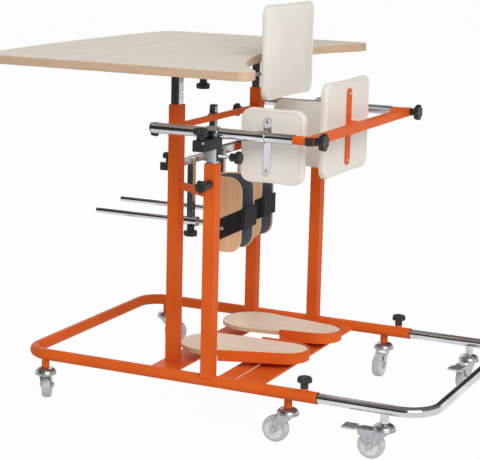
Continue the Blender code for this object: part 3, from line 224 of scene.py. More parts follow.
# Pads
PAD_STEPS = 26
PAD_CROWDING = 0.92  # how much the grid's lines crowd towards the border
PAD_CORNER_R = 0.030
PAD_CORNER_LEAST = 0.004
PAD_CROWN = 0.007
PAD_CROWN_START = 0.55  # share of the crown before the filling presses on the cover
PAD_CROWN_POWER = 0.6
PAD_DRAW = 0.003  # how far the sides pull in between the corners
PAD_BACK = (0.0070, 0.0004)  # inset and height of the back panel
PAD_RIM = mm((6.4, 1.6), (5.2, 0.4), (3.4, 0), (1.4, 0.8), (0.4, 2.6))  # insets and heights
PAD_SIDE = (0.42, 0.60, 0.78)  # shares of the side's height
PAD_LIP = (0.0008, 0.0014)  # inset, and drop below the side's top
PAD_FACE_INSET = 0.0020
PAD_TOP_SPARE = 0.0006
PAD_FRAMES = 20
PAD_CLOTH = {
    "quality": 6, "mass": 0.25, "tension_stiffness": 18, "compression_stiffness": 18,
    "bending_stiffness": 0.4, "vertex_group_mass": "held", "pin_stiffness": 1.0, "use_pressure": True,
    "uniform_pressure_force": 4.0,
}
PAD_LUMPS = (  # scale, shift per pad, height
    (16, Vector((3.1, 5.7, 2.3)), 0.0007),
    (55, Vector((8.1, 1.7, 6.3)), 0.00022),
)
PAD_LUMPS_FROM = 0.010
PAD_LUMPS_OVER = 0.012
PIPING_R = 0.0013
PIPING_SIDES = 10
PADS = (  # node, facing, shared mesh
    ("chest_pad", Vector((0, -1, 0)), "large"),
    ("rear_pad", Vector((0, 1, 0)), "large"),
    ("hip_pad_left", Vector((1, 0, 0)), "hip"),
    ("hip_pad_right", Vector((-1, 0, 0)), "hip"),
)

# Pelvic support
RAIL_PLUG = mm((10.6, -12), (10.6, 0), (12.2, 0), (12.3, 2), (11.2, 3.6), (8, 4.6), (3, 5))
CLAMP_OUT = 0.041  # black part of the clamp, from its outer face inwards
CLAMP_HEAD_Y = 0.0
CLAMP_HEAD_L = 0.034
CLAMP_PIN_R = 0.0035
CLAMP_PIN_RISE = 0.0072
CLAMP_PIN_Y = -0.004
HIP_STRIP_ROUND = 0.008
HIP_SCREW_R = 0.0042
HIP_SCREW_INSET = 0.010
GATE_STRIP_ROUND = 0.012
GATE_SCREW_R = 0.005
GATE_SCREW_INSET = 0.012
GATE_BAR = 0.020
GATE_CAP_INSET = 0.0002
GATE_CAP_EDGE_R = 0.0012

# Knees
CUP_WALL = 0.005
CUP_EDGE_R = 0.0009
CUP_CORNER_R = 0.034
CUP_STEPS = 30
WING_STEPS = 12
WING_CROWDING = 1.6
WALL_THROUGH = (0, 0.1, 0.9, 1, 1, 1, 1, 0.9, 0.1, 0, 0, 0)  # round the section, 0 inside, 1 outside
WALL_PART = 0.33  # height of the section's points between its edges
FOAM_T = 0.0065
FOAM_GAP = 0.0002
FOAM_EDGE_R = 0.002
FOAM_SHORT = 0.0015  # of the wing's length
FOAM_LOW = 0.002  # of half the cup's height
STRAP_W = 0.053
STRAP_T = 0.002
STRAP_GAP = 0.0003
STRAP_SLOPE = 0.51
STRAP_DROP = 0.032
STRAP_FRONT = 0.015
STRAP_CORNER_R = 0.008
STRAP_STEPS = 10
STRAP_CORNER_STEPS = 8
SELVEDGE = 0.0014
STRAP_BODY = 0.42  # half the thickness between the selvedges, as a share
TAB_T = 0.0016
TAB_BACK = 0.004
TAB_POINTS = 9
TAB_NARROWER = 0.003
RIVET_R = 0.005
RIVET_BACK = 0.009
HANGER_KNOB_X = 0.1  # the end knobs stand further out than this
POST_CAP_T = 0.004
CROSS_BAR = 0.020
CROSS_CAP_SPAN = (-0.0005, CAP_T)
HANGER_CAP_EDGE_R = 0.0014


def linear(hex_colour, level=1.0):
    """Linear colour of a screen colour such as D95A24, made darker or lighter by a factor."""
    parts = [int(hex_colour[k : k + 2], 16) / 255 for k in (0, 2, 4)]
    straight = [c / 12.92 if c <= 0.04045 else ((c + 0.055) / 1.055) ** 2.4 for c in parts]
    return (*(min(level * c, 1.0) for c in straight), 1.0)


def clamped(value, top=1.0):
    return min(max(value, 0.0), top)


def mid(values):
    """Halfway between the smallest and the largest of some values."""
    return (max(values) + min(values)) / 2


class Nodes:
    """A node tree that is put together node by node."""

    def __init__(self, owner):
        owner.use_nodes = True
        self.tree = owner.node_tree

    def feed(self, socket, value):
        if isinstance(value, bpy.types.NodeSocket):
            self.tree.links.new(value, socket)
        else:
            socket.default_value = value

    def node(self, kind, inputs, **settings):
        made = self.tree.nodes.new(kind)
        for name, value in settings.items():
            setattr(made, name, value)
        for name, value in inputs.items():
            self.feed(made.inputs[name], value)
        return made

    def between(self, factor, low, high):
        inputs = {"Value": factor, "To Min": low, "To Max": high}
        return self.node("ShaderNodeMapRange", inputs).outputs["Result"]

    def maths(self, operation, first, second):
        return self.node("ShaderNodeMath", {0: first, 1: second}, operation=operation).outputs["Value"]

    def seen(self):
        """1 for rays that show the surroundings: straight from the camera, reflected or let through."""
        rays = self.node("ShaderNodeLightPath", {}).outputs
        last = rays["Is Camera Ray"]
        for name in ("Is Glossy Ray", "Is Transmission Ray"):
            last = self.maths("MAXIMUM", last, rays[name])
        return last


class Finish(Nodes):
    """A Principled material."""

    def __init__(self, name, **sockets):
        self.material = bpy.data.materials.new(name)
        super().__init__(self.material)
        self.shader = self.tree.nodes["Principled BSDF"].inputs
        for socket, value in sockets.items():
            self.feed(self.shader[socket.replace("_", " ")], value)

    def place(self, stretch):
        spot = self.node("ShaderNodeTexCoord", {}).outputs["Object"]
        return self.node("ShaderNodeMapping", {"Vector": spot, "Scale": stretch}).outputs["Vector"]

    def noise(self, scale, detail=3.0, stretch=(1, 1, 1), distortion=0.0):
        inputs = {"Vector": self.place(stretch), "Scale": scale, "Detail": detail, "Distortion": distortion}
        return self.node("ShaderNodeTexNoise", inputs).outputs["Fac"]

    def cells(self, scale, feature="F1"):
        inputs = {"Vector": self.place((1, 1, 1)), "Scale": scale}
        return self.node("ShaderNodeTexVoronoi", inputs, feature=feature).outputs["Distance"]

    def ramp(self, factor, *stops):
        """Colours along a factor. A stop is a position, a screen colour and, if wanted, a level."""
        made = self.node("ShaderNodeValToRGB", {"Fac": factor})
        elements = made.color_ramp.elements
        while len(elements) < len(stops):
            elements.new(1.0)
        for element, (position, *colour) in zip(elements, stops):
            element.position = position
            element.color = linear(*colour)
        return made.outputs["Color"]

    def mixed(self, factor, colour, hex_colour):
        inputs = {"Factor": factor, "A": colour, "B": linear(hex_colour)}
        return self.node("ShaderNodeMix", inputs, data_type="RGBA").outputs["Result"]

    def bump(self, height, distance, strength):
        """Adds to whatever bump the shader already has."""
        made = self.node("ShaderNodeBump", {"Height": height, "Distance": distance, "Strength": strength})
        link = next((k for k in self.tree.links if k.to_socket == self.shader["Normal"]), None)
        if link:
            self.feed(made.inputs["Normal"], link.from_socket)
        self.feed(self.shader["Normal"], made.outputs["Normal"])

    def done(self, colour, pattern, low, high):
        """The material, with its colour and a roughness that varies with a pattern."""
        self.feed(self.shader["Base Color"], colour)
        self.feed(self.shader["Roughness"], self.between(pattern, low, high))
        return self.material


def powder_coat():
    """Orange powder coat: mottled tone, orange peel and a few duller rubbed patches."""
    coat = Finish("orange_paint", Coat_Weight=0.02, Coat_Roughness=0.25, Specular_IOR_Level=0.06)
    colour = coat.ramp(coat.noise(7, 4), (0.30, "DA5C1F"), (0.70, "E66927"))
    rubbed = coat.noise(26, 6, distortion=0.6)
    worn = coat.ramp(rubbed, (0.62, "000000"), (0.74, "808080"))
    colour = coat.mixed(worn, colour, "E0753C")
    coat.bump(coat.noise(900, 2), 0.0004, 0.14)
    return coat.done(colour, rubbed, 0.32, 0.50)


def chrome_plate():
    """Bright plating with faint hairlines and finger haze."""
    plate = Finish("chrome", Metallic=1.0)
    colour = plate.ramp(plate.noise(9, 5), (0.35, "C4C6CA"), (0.70, "E2E3E6"))
    plate.bump(plate.noise(1.0, 4, stretch=(700, 40, 700)), 0.0002, 0.06)
    return plate.done(colour, plate.noise(40, 6), 0.05, 0.20)


def zinc_plate(name, dark, light, low, high):
    """Satin zinc with cloudy spangle."""
    plate = Finish(name, Metallic=1.0)
    colour = plate.ramp(plate.cells(140, "SMOOTH_F1"), (0.0, dark), (0.8, light))
    plate.bump(plate.noise(420, 3), 0.0002, 0.12)
    return plate.done(colour, plate.noise(60, 5), low, high)


def moulded_plastic(name, hex_colour, low, high, grain=620):
    """Moulded plastic with fine spark-eroded grain and shiny rubbed spots."""
    plastic = Finish(name)
    colour = plastic.ramp(plastic.noise(28, 4), (0.25, hex_colour, 0.82), (0.75, hex_colour, 1.22))
    plastic.bump(plastic.noise(grain, 2), 0.0003, 0.22)
    return plastic.done(colour, plastic.noise(90, 5), low, high)


def timber(name, light, dark, pore, stretch, rough=(0.42, 0.58), gloss=0.5):
    """Wood whose figure runs along the axis with the smallest stretch, with fine darker pores."""
    wood = Finish(name, Specular_IOR_Level=gloss)
    figure = wood.noise(2.6, 7, stretch=stretch, distortion=1.1)
    colour = wood.ramp(figure, (0.28, dark), (0.52, light), (0.78, dark, 1.08))
    pores = wood.noise(3.4, 3, stretch=tuple(9 * s for s in stretch))
    spots = wood.ramp(pores, (0.56, "000000"), (0.72, "B0B0B0"))
    colour = wood.mixed(spots, colour, pore)
    wood.bump(pores, 0.0002, 0.16)
    return wood.done(colour, figure, *rough)


def ply_edge():
    """Edge of bent plywood: pale and brown plies, read from how far a point is through the wall."""
    edge = Finish("plywood_edge")
    through = edge.node("ShaderNodeAttribute", {}, attribute_name="through").outputs["Fac"]
    wave = edge.maths("SINE", edge.maths("MULTIPLY", through, 5 * tau / 2), 0.0)
    uneven = edge.maths("ADD", wave, edge.between(edge.noise(180, 4), -0.5, 0.5))
    tone = edge.between(uneven, 0.5, 1.0)
    colour = edge.ramp(tone, (0.35, "B98A5C"), (0.6, "E6CBA4"), (1.0, "F0DCBC"))
    edge.bump(edge.noise(500, 3), 0.0002, 0.3)
    return edge.done(colour, edge.noise(70, 3), 0.5, 0.68)


def vinyl():
    """Off-white upholstery vinyl with pebbled leather grain and faint soiling."""
    cover = Finish("white_vinyl", Sheen_Weight=0.06, Coat_Weight=0.05, Coat_Roughness=0.4)
    soil = cover.noise(5, 5, distortion=0.8)
    colour = cover.ramp(soil, (0.25, "E7E1D7"), (0.6, "ECE7DE"), (0.85, "F4F0E9"))
    cover.bump(cover.cells(520, "SMOOTH_F1"), 0.0005, 0.28)
    cover.bump(cover.noise(70, 4), 0.0008, 0.10)
    return cover.done(colour, cover.noise(48, 5), 0.38, 0.55)


def webbing():
    """Black woven strap: ribs across, warp along, from a map laid out in metres, with painted shade in the
    weave's hollows.
    """
    weave = Finish("black_webbing", Sheen_Weight=0.08, Sheen_Roughness=0.5, Specular_IOR_Level=0.25)
    lay = weave.node("ShaderNodeUVMap", {}, uv_map="weave").outputs["UV"]
    waves = []
    for scale, distortion, way in ((210.0, 0.4, "X"), (160.0, 0.3, "Y")):
        inputs = {"Vector": lay, "Scale": scale, "Distortion": distortion}
        waves.append(weave.node("ShaderNodeTexWave", inputs, bands_direction=way).outputs["Fac"])
    height = weave.maths("MULTIPLY", *waves)
    # Colour follows the weave's height: darker in its hollows and lighter on its crests, which is painted
    # shade.
    colour = weave.ramp(height, (0.0, "151416"), (0.9, "322F31"))
    lint = weave.ramp(weave.noise(300, 5), (0.60, "000000"), (0.80, "606060"))
    colour = weave.mixed(lint, colour, "4A484A")
    weave.bump(height, 0.0005, 0.6)
    return weave.done(colour, height, 0.92, 0.72)


def foam():
    """Dark grey closed-cell foam with open pores on its cut edge, painted darker inside the pores as shade.
    """
    cell = Finish("grey_foam")
    pores = cell.cells(700)
    # Colour darker towards the middle of each pore, where it sinks: painted shade in the pores.
    colour = cell.ramp(pores, (0.05, "464A54"), (0.5, "666A75"))
    cell.bump(pores, 0.0005, 0.4)
    return cell.done(colour, cell.noise(60, 3), 0.80, 0.95)


def circle(radius, sides=ROUND):
    angles = [tau * k / sides for k in range(sides)]
    return [(radius * cos(angle), radius * sin(angle)) for angle in angles]


def mirrored(points):
    """The other half of a path that is the same on both sides of x = 0."""
    return [Vector((-point.x, *point[1:])) for point in reversed(points)]


def facing(axis):
    """The turn that takes +Z to an axis."""
    return UP.rotation_difference(axis).to_matrix()


def bridge(bm, first, second):
    """Quads between two closed rings of vertices."""
    quads = zip(first, first[1:] + first[:1], second[1:] + second[:1], second)
    return [bm.faces.new(quad) for quad in quads]


def bevel(bm, edges, width, segments=2):
    bmesh.ops.bevel(
        bm, geom=edges, offset=width, offset_type="OFFSET", segments=segments, profile=0.5, affect="EDGES",
        clamp_overlap=True, material=-1,
    )


class Shape:
    """A mesh that is put together from swept, turned and boxed bodies."""

    def __init__(self, bm=None):
        self.bm = bm or bmesh.new()

    def rows(self, rows, loop=False, caps=True):
        """Quads between closed rings of points, capped at both ends unless looped: vertices and faces."""
        made = [[self.bm.verts.new(point) for point in row] for row in rows]
        pairs = list(zip(made, made[1:]))
        if loop:
            pairs.append((made[-1], made[0]))
        faces = [face for pair in pairs for face in bridge(self.bm, *pair)]
        if caps and not loop:
            faces += [self.bm.faces.new(made[0]), self.bm.faces.new(made[-1])]
        bmesh.ops.recalc_face_normals(self.bm, faces=faces)
        return made, faces

    def sweep(self, path, section, loop=False, caps=True):
        """A section of (across, up) pairs carried along a level path: its rings of vertices."""
        rows = []
        count = len(path)
        for k, point in enumerate(path):
            before = path[k - 1] if loop or k else point
            after = path[(k + 1) % count] if loop or k + 1 < count else point
            across = (after - before).cross(UP).normalized()
            rows.append([point + across * a + UP * b for a, b in section])
        return self.rows(rows, loop, caps)[0]

    def tube(self, path, diameter, wall):
        """An open tube: outer skin, inner skin and two end rings."""
        radii = (diameter / 2, diameter / 2 - wall)
        outer, inner = (self.sweep(path, circle(radius), caps=False) for radius in radii)
        for end in (0, -1):
            bridge(self.bm, outer[end], inner[end])
        bmesh.ops.recalc_face_normals(self.bm, faces=self.bm.faces)
        return self

    def turned(self, profile, axis=UP, origin=Vector(), sides=ROUND):
        """A body turned from (radius, place along the axis) pairs: its faces step by step, then the caps."""
        turn = facing(axis)
        rows = []
        for radius, place in profile:
            rows.append([origin + turn @ Vector((*spot, place)) for spot in circle(radius, sides)])
        return self.rows(rows)[1]

    def box(self, first, second, edge):
        """A block between two opposite corners, with rounded edges."""
        first = Vector(first)
        second = Vector(second)
        size = [abs(c) for c in second - first]
        matrix = Matrix.Translation((first + second) / 2) @ Matrix.Diagonal((*size, 1))
        made = bmesh.ops.create_cube(self.bm, size=1, matrix=matrix)["verts"]
        bevel(self.bm, list(dict.fromkeys(e for v in made for e in v.link_edges)), edge)

    def end_caps(self, end, span, low, high, edge):
        """A block on both ends of a bar along x: its span from the end, and its corners in y and z."""
        for _, sign in SIDES:
            near, far = (sign * (end + step) for step in span)
            self.box((near, *low), (far, *high), edge)
        return self


def mesh_of(bm, name, materials=()):
    mesh = bpy.data.meshes.new(name)
    bm.to_mesh(mesh)
    bm.free()
    for material in materials:
        mesh.materials.append(material)
    return mesh


def added(name, data, matrix=None):
    """A new object in the scene."""
    thing = bpy.data.objects.new(name, data)
    if matrix:
        thing.matrix_world = matrix
    bpy.context.scene.collection.objects.link(thing)
    return thing


def piece(name, shape, materials, body, replaced=None, matrix=None, smooth=SMOOTH_DEG):
    """An object that rides on a body, with smooth shading broken at sharp edges."""
    mesh = mesh_of(shape.bm, name, materials)
    mesh.shade_smooth()
    mesh.set_sharp_from_angle(angle=radians(smooth))
    thing = added(name, mesh, matrix)
    weighted = thing.modifiers.new("weighted", "WEIGHTED_NORMAL")
    weighted.keep_sharp = True
    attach(thing, body)
    if replaced:
        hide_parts(replaced)
    return thing


def stand_in(node, shape, materials, ending="skin", matrix=None, smooth=SMOOTH_DEG):
    """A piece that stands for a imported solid, on the solid's body."""
    return piece(f"{node}_{ending}", shape, materials, body_of(node), node, matrix, smooth)


def add_screws(name, spots, radius, material, body):
    """Domed screw heads with a round recess in the top, each seated at a place and facing along an axis."""
    shape = Shape()
    profile = [(radius * share, radius * SCREW_RISE * rise) for share, rise in SCREW_PROFILE]
    for place, axis in spots:
        shape.turned(profile, Vector(axis), Vector(place), SMALL_ROUND)
    piece(name, shape, [material], body)


def body_of(node):
    return frame["nodes"][node]["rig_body"]


def joint_of(child):
    return next(j for j in frame["joints"] if j["child"] == child)


def edge_of(node):
    return next(radius for kind, radius in EDGE_R.items() if node.startswith(kind))


def solid(node):
    """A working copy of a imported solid, with its triangles joined to flat faces."""
    bm = bmesh.new()
    bm.from_mesh(frame["nodes"][node].data)
    bmesh.ops.remove_doubles(bm, verts=bm.verts, dist=WELD)
    bmesh.ops.dissolve_limit(
        bm, angle_limit=radians(FLAT_DEG), verts=bm.verts, edges=bm.edges, use_dissolve_boundaries=False
    )
    for face in bm.faces:
        face.material_index = 0
    return bm


def soften(bm, width, wanted=lambda edge: True, segments=2):
    """Rounds the outer edges that are wanted."""
    limit = radians(EDGE_DEG)
    outer = [e for e in bm.edges if e.is_manifold and e.is_convex and e.calc_face_angle(0.0) > limit]
    bevel(bm, [e for e in outer if wanted(e)], width, segments)
    return bm


def softened(node):
    return soften(solid(node), edge_of(node))


def dressed(node, material):
    """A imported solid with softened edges, in place of the solid itself."""
    stand_in(node, Shape(softened(node)), [material])


def u_path(half_width, cross_y, open_y, bend, height):
    """Centre line of a U that lies flat, from one open end to the other."""
    towards = copysign(1, cross_y - open_y)
    middle = Vector((bend - half_width, cross_y - towards * bend, height))
    half = [Vector((-half_width, open_y, height))]
    for step in range(BEND_STEPS + 1):
        angle = step / BEND_STEPS * pi / 2
        half.append(middle + bend * Vector((-cos(angle), towards * sin(angle), 0)))
    return half + mirrored(half)


def make_base(paint, dark):
    """Base frame, smooth skin over its bent tube, and a bush in each open sleeve."""
    dressed("base_frame", paint)
    low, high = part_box("base_frame")
    side = high.x - TUBE_D / 2
    front = high.y - TUBE_D / 2
    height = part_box("rear_extension")[1].z - EXTENSION_D / 2
    shape = Shape().tube(u_path(side, front, low.y, BASE_BEND, height), TUBE_D + 2 * SKIN, TUBE_WALL)
    piece("base_tube", shape, [paint], "base")
    bushes = Shape()
    for _, sign in SIDES:
        rim = [Vector((sign * side, low.y + step, height)) for step in BUSH_SPAN]
        bushes.tube(rim, TUBE_D - BUSH_PLAY, BUSH_WALL)
    piece("sleeve_bushes", bushes, [dark], "base")


def make_extension(chrome):
    """Bent chrome U with a socket for each rear castor."""
    low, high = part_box("rear_extension")
    reach = high.x - EXTENSION_D / 2
    height = high.z - EXTENSION_D / 2
    path = u_path(reach, low.y + EXTENSION_D / 2, high.y, EXTENSION_BEND, height)
    shape = Shape().tube(path, EXTENSION_D, CHROME_WALL)
    profile = [(radius, low.z + step) for radius, step in SOCKET_FOOT]
    profile += [(radius, height + step) for radius, step in SOCKET_HEAD]
    for side, _ in SIDES:
        x, y, _ = joint_of("fork_rear_" + side)["pos_m"]
        shape.turned(profile, origin=Vector((x, y, 0)))
    stand_in("rear_extension", shape, [chrome])


def make_uprights(paint):
    """Columns with rounded corners, cross bar, guide and ties."""
    def tall(edge):
        along = edge.verts[1].co - edge.verts[0].co
        return abs(along.z) > max(TALL_EDGE_L, TALL_SHARE * along.length)

    def column_corner(edge):
        middle = (edge.verts[0].co + edge.verts[1].co) / 2
        return tall(edge) and abs(middle.x) > COLUMN_X

    node = "upright_frame"
    bm = soften(solid(node), COLUMN_CORNER_R, column_corner, COLUMN_CORNER_STEPS)
    soften(bm, edge_of(node), lambda edge: not tall(edge))
    stand_in(node, Shape(bm), [paint])


def knob_shape(length, hub_l, radius=KNOB_R):
    """A star knob with its outer face at z = 0 and its stud down to -length."""
    shape = Shape()
    rows = []
    for share, rise in KNOB_LEVELS:
        lobe = KNOB_LOBE_DEPTH * clamped((share - KNOB_LOBE_FROM) / KNOB_LOBE_OVER)
        row = []
        for k in range(KNOB_SEGMENTS):
            angle = tau * k / KNOB_SEGMENTS
            dip = 0.5 * (1 + cos(KNOB_LOBES * angle))
            reach = radius * share * (1 - lobe * dip**KNOB_LOBE_POWER)
            row.append(Vector((reach * cos(angle), reach * sin(angle), KNOB_T * rise)))
        rows.append(row)
    shape.rows(rows)
    shape.turned([(HUB_R * grow, -KNOB_T + hub_l * share + step) for grow, share, step in HUB_PROFILE])
    profile = [(STUD_R * share, -length + step) for share, step in STUD_TIP]
    place = -length + STUD_THREAD_FROM
    deep = False
    while place < -KNOB_T - hub_l + THREAD_PITCH:
        profile.append((STUD_R - THREAD_DEPTH * deep, place))
        deep = not deep
        place += THREAD_PITCH / 2
    for face in shape.turned(profile, sides=SMALL_ROUND):
        face.material_index = 1
    return shape


def add_knob(node, axis, hub_l, radius, materials):
    """A lock knob, turned out from its seat along its own axis."""
    low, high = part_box(node)
    length = abs((high - low).dot(axis))
    face = (low + high) / 2 + axis * (length / 2)
    matrix = Matrix.Translation(face) @ facing(axis).to_4x4()
    stand_in(node, knob_shape(length, hub_l, radius), materials, "star", matrix)


def make_knobs(black, steel):
    """The chest knob, and all those that come in pairs."""
    add_knob("chest_knob", Vector((0, 0, -1)), CHEST_HUB_L, KNOB_R, [black, steel])
    for side, sign in SIDES:
        for kind, (x, y, z), hub_l, radius in KNOBS:
            add_knob(f"{kind}_knob_{side}", Vector((sign * x, y, z)), hub_l, radius, [black, steel])


def wheel_shape():
    """A castor wheel round Z: dished hub, rim ring and rounded tyre."""
    half = WHEEL_HUB + WHEEL_TYRE
    profile = [(r, -x) for r, x in half] + [(r, x) for r, x in reversed(half)]
    shape = Shape()
    faces = shape.turned(profile, sides=WHEEL_SIDES)
    for step, (first, second) in enumerate(zip(profile, profile[1:])):
        inside = min(first[0], second[0]) < WHEEL_TYRE[0][0]
        for face in faces[step * WHEEL_SIDES : (step + 1) * WHEEL_SIDES]:
            face.material_index = int(inside)
    bmesh.ops.delete(shape.bm, geom=faces[-2:], context="FACES_ONLY")
    return shape


def make_castors(plate, tyre, hub, steel):
    """Six castors: fork with double race dome and axle bolts, wheel, and the rear pair's pedals."""
    outside = WHEEL_HALF_W + WHEEL_SIDE_GAP + FORK_T
    for spot in CASTORS:
        node = "castor_wheel_" + spot
        low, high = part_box(node)
        centre = (low + high) / 2
        axis = Vector(joint_of("wheel_" + spot)["axis"])
        turn = Matrix((UP.cross(axis), UP, axis)).transposed()
        matrix = Matrix.Translation(centre) @ turn.to_4x4()
        stand_in(node, wheel_shape(), [tyre, hub], "turned", matrix)
        node = "castor_fork_" + spot
        shape = Shape(softened(node))
        x, y, _ = joint_of("fork_" + spot)["pos_m"]
        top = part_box("rear_extension" if spot.startswith("rear") else "base_frame")[0].z
        shape.turned(DOME, origin=Vector((x, y, top - DOME_H - DOME_GAP)))
        for sign in (-1, 1):
            seat = centre + axis * (sign * outside)
            shape.turned(AXLE_WASHER, axis * sign, seat, WASHER_SIDES)
            shape.turned(AXLE_HEX, axis * sign, seat, 6)
        stand_in(node, shape, [plate])
    for side, _ in SIDES:
        dressed("brake_pedal_rear_" + side, steel)


def pad_outline(half_w, half_h, inset, s, t):
    """A point of the pad's face for square coordinates s and t between -1 and 1."""
    w = half_w - inset
    h = half_h - inset
    r = max(PAD_CORNER_R - inset, PAD_CORNER_LEAST)
    edge_s = r / w
    edge_t = r / h
    a = max((abs(s) - (1 - edge_s)) / edge_s, 0.0)
    b = max((abs(t) - (1 - edge_t)) / edge_t, 0.0)
    x = min(abs(s), 1 - edge_s) * w
    y = min(abs(t), 1 - edge_t) * h
    x = copysign(x + r * a * sqrt(1 - b * b / 2), s)
    y = copysign(y + r * b * sqrt(1 - a * a / 2), t)
    x *= 1 - PAD_DRAW / half_w * (1 - (y / half_h) ** 2)
    y *= 1 - PAD_DRAW / half_h * (1 - (x / half_w) ** 2)
    return x, y


def pad_ring():
    """Places round the border of the pad's grid, in order."""
    n = PAD_STEPS
    walk = [(i, 0) for i in range(n)] + [(n, j) for j in range(n)]
    return walk + [(n - i, n - j) for i, j in walk]


def pad_mesh(width, height, thick):
    """A padded panel on z = 0: inset back panel, wrapped rim, side and crowned face."""
    n = PAD_STEPS
    bm = bmesh.new()
    side_top = thick - PAD_CROWN

    def square(i, j):
        """Square coordinates of a place in the grid, whose lines crowd towards the border."""
        quarter = pi / 2 * PAD_CROWDING
        return [sin((2 * k / n - 1) * quarter) / sin(quarter) for k in (i, j)]

    def vertex(place, inset, level):
        s, t = square(*place)
        return bm.verts.new((*pad_outline(width / 2, height / 2, inset, s, t), level(s, t)))

    def grid(inset, level):
        points = {(i, j): vertex((i, j), inset, level) for i in range(n + 1) for j in range(n + 1)}
        for i in range(n):
            for j in range(n):
                bm.faces.new((points[i, j], points[i + 1, j], points[i + 1, j + 1], points[i, j + 1]))
        return points

    def crowned(s, t):
        bulge = (1 - s**4) * (1 - t**4)
        return side_top + PAD_CROWN * PAD_CROWN_START * bulge**PAD_CROWN_POWER

    back_inset, back_z = PAD_BACK
    back = grid(back_inset, lambda s, t: back_z)
    face = grid(PAD_FACE_INSET, crowned)
    levels = PAD_RIM + [(0.0, side_top * share) for share in PAD_SIDE]
    levels.append((PAD_LIP[0], side_top - PAD_LIP[1]))
    rings = [[back[place] for place in pad_ring()]]
    for inset, z in levels:
        rings.append([vertex(place, inset, lambda s, t: z) for place in pad_ring()])
    rings.append([face[place] for place in pad_ring()])
    for first, second in zip(rings, rings[1:]):
        bridge(bm, first, second)
    bmesh.ops.recalc_face_normals(bm, faces=bm.faces)
    bm.verts.index_update()
    loose = [face[i, j].index for i in range(1, n) for j in range(1, n)]
    loose += [v.index for row in rings[len(PAD_RIM) + 1 : -2] for v in row]
    seam = [v.co.copy() for v in rings[-1]]
    return mesh_of(bm, "pad"), loose, seam


def inflate(mesh, loose, limit_z, cap):
    """Lets the filling press on the cover, with the back and the seams held."""
    thing = added("pad_trial", mesh)
    held = thing.vertex_groups.new(name=PAD_CLOTH["vertex_group_mass"])
    held.add(sorted(set(range(len(mesh.vertices))) - set(loose)), 1.0, "REPLACE")
    cloth = thing.modifiers.new("filling", "CLOTH")
    for name, value in PAD_CLOTH.items():
        setattr(cloth.settings, name, value)
    cloth.settings.effector_weights.gravity = 0
    cloth.point_cache.frame_start = 1
    cloth.point_cache.frame_end = PAD_FRAMES
    scene = bpy.context.scene
    for step in range(1, PAD_FRAMES + 1):
        scene.frame_set(step)
    shaped = thing.evaluated_get(bpy.context.evaluated_depsgraph_get()).data
    moved = []
    for start, end in zip(mesh.vertices, shaped.vertices):
        shift = end.co - start.co
        if shift.length > cap:
            shift *= cap / shift.length
        spot = start.co + shift
        spot.z = min(spot.z, limit_z)
        moved.append(spot)
    scene.frame_set(1)
    bpy.data.objects.remove(thing)
    for vertex, spot in zip(mesh.vertices, moved):
        vertex.co = spot
    mesh.update()


def make_pads(cover):
    """Chest, rear and hip pads with piped seams and slightly uneven filling."""
    masters = {}
    for number, (node, way, kind) in enumerate(PADS):
        low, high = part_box(node)
        size = high - low
        thick = abs(size.dot(way))
        if kind not in masters:
            mesh, loose, seam = pad_mesh(size.x + size.y - thick, size.z, thick)
            inflate(mesh, loose, thick - PAD_TOP_SPARE, PAD_CROWN)
            masters[kind] = (mesh, seam)
        mesh, seam = masters[kind]
        shape = Shape()
        shape.bm.from_mesh(mesh)
        for vertex in shape.bm.verts:
            spot = vertex.co
            rise = clamped((spot.z - PAD_LUMPS_FROM) / PAD_LUMPS_OVER)
            lump = 0.0
            for scale, shift, height in PAD_LUMPS:
                lump += height * noise.noise(spot * scale + shift * (number + 1))
            vertex.co += vertex.normal * rise * lump
        shape.sweep(seam, circle(PIPING_R, PIPING_SIDES), loop=True)
        back = (low + high) / 2 - way * (thick / 2)
        swing = atan2(way.y, way.x) + pi / 2
        turn = Matrix.Rotation(swing, 4, "Z") @ Matrix.Rotation(pi / 2, 4, "X")
        matrix = Matrix.Translation(back) @ turn
        pad = stand_in(node, shape, [cover], "cushion", matrix, PAD_SMOOTH_DEG)


def cup_walk(radius, wing):
    """Points and outward directions of the cup's wall, from wing edge to wing edge."""
    places = [-wing * (1 - (k / WING_STEPS) ** WING_CROWDING) for k in range(WING_STEPS)]
    walk = [(Vector((-radius, y)), Vector((-1, 0))) for y in places]
    for k in range(CUP_STEPS + 1):
        angle = pi - pi * k / CUP_STEPS
        out = Vector((cos(angle), sin(angle)))
        walk.append((out * radius, out))
    return walk + [(Vector((radius, y)), Vector((1, 0))) for y in reversed(places)]


def corner_drop(y, wing):
    """What the wing's rounded corner takes off the height at a place along the cup."""
    short = clamped(CUP_CORNER_R - (wing + y), CUP_CORNER_R)
    return CUP_CORNER_R - sqrt(CUP_CORNER_R**2 - short**2)


def wall_band(walk, middle, thick, half_h, wing, edge, edge_material):
    """A curved wall with rounded edges, which may have a material of their own."""
    shape = Shape()
    through = shape.bm.verts.layers.float.new("through")
    half = thick / 2
    reaches = {0: -half, 0.1: edge - half, 0.9: half - edge, 1: half}
    rows = []
    for point, out in walk:
        top = half_h - corner_drop(point.y, wing)
        heights = [edge - top, -top, -top, edge - top, -top * WALL_PART, top * WALL_PART]
        heights += [-z for z in heights]
        section = [(point + out * reaches[share], z) for share, z in zip(WALL_THROUGH, heights)]
        rows.append([middle + Vector((*spot, z)) for spot, z in section])
    made, faces = shape.rows(rows)
    for row in made:
        for vertex, share in zip(row, WALL_THROUGH):
            vertex[through] = share
    for face in faces:
        on_one_side = {v[through] for v in face.verts} in ({0.0}, {1.0})
        face.material_index = 0 if on_one_side else edge_material
    return shape


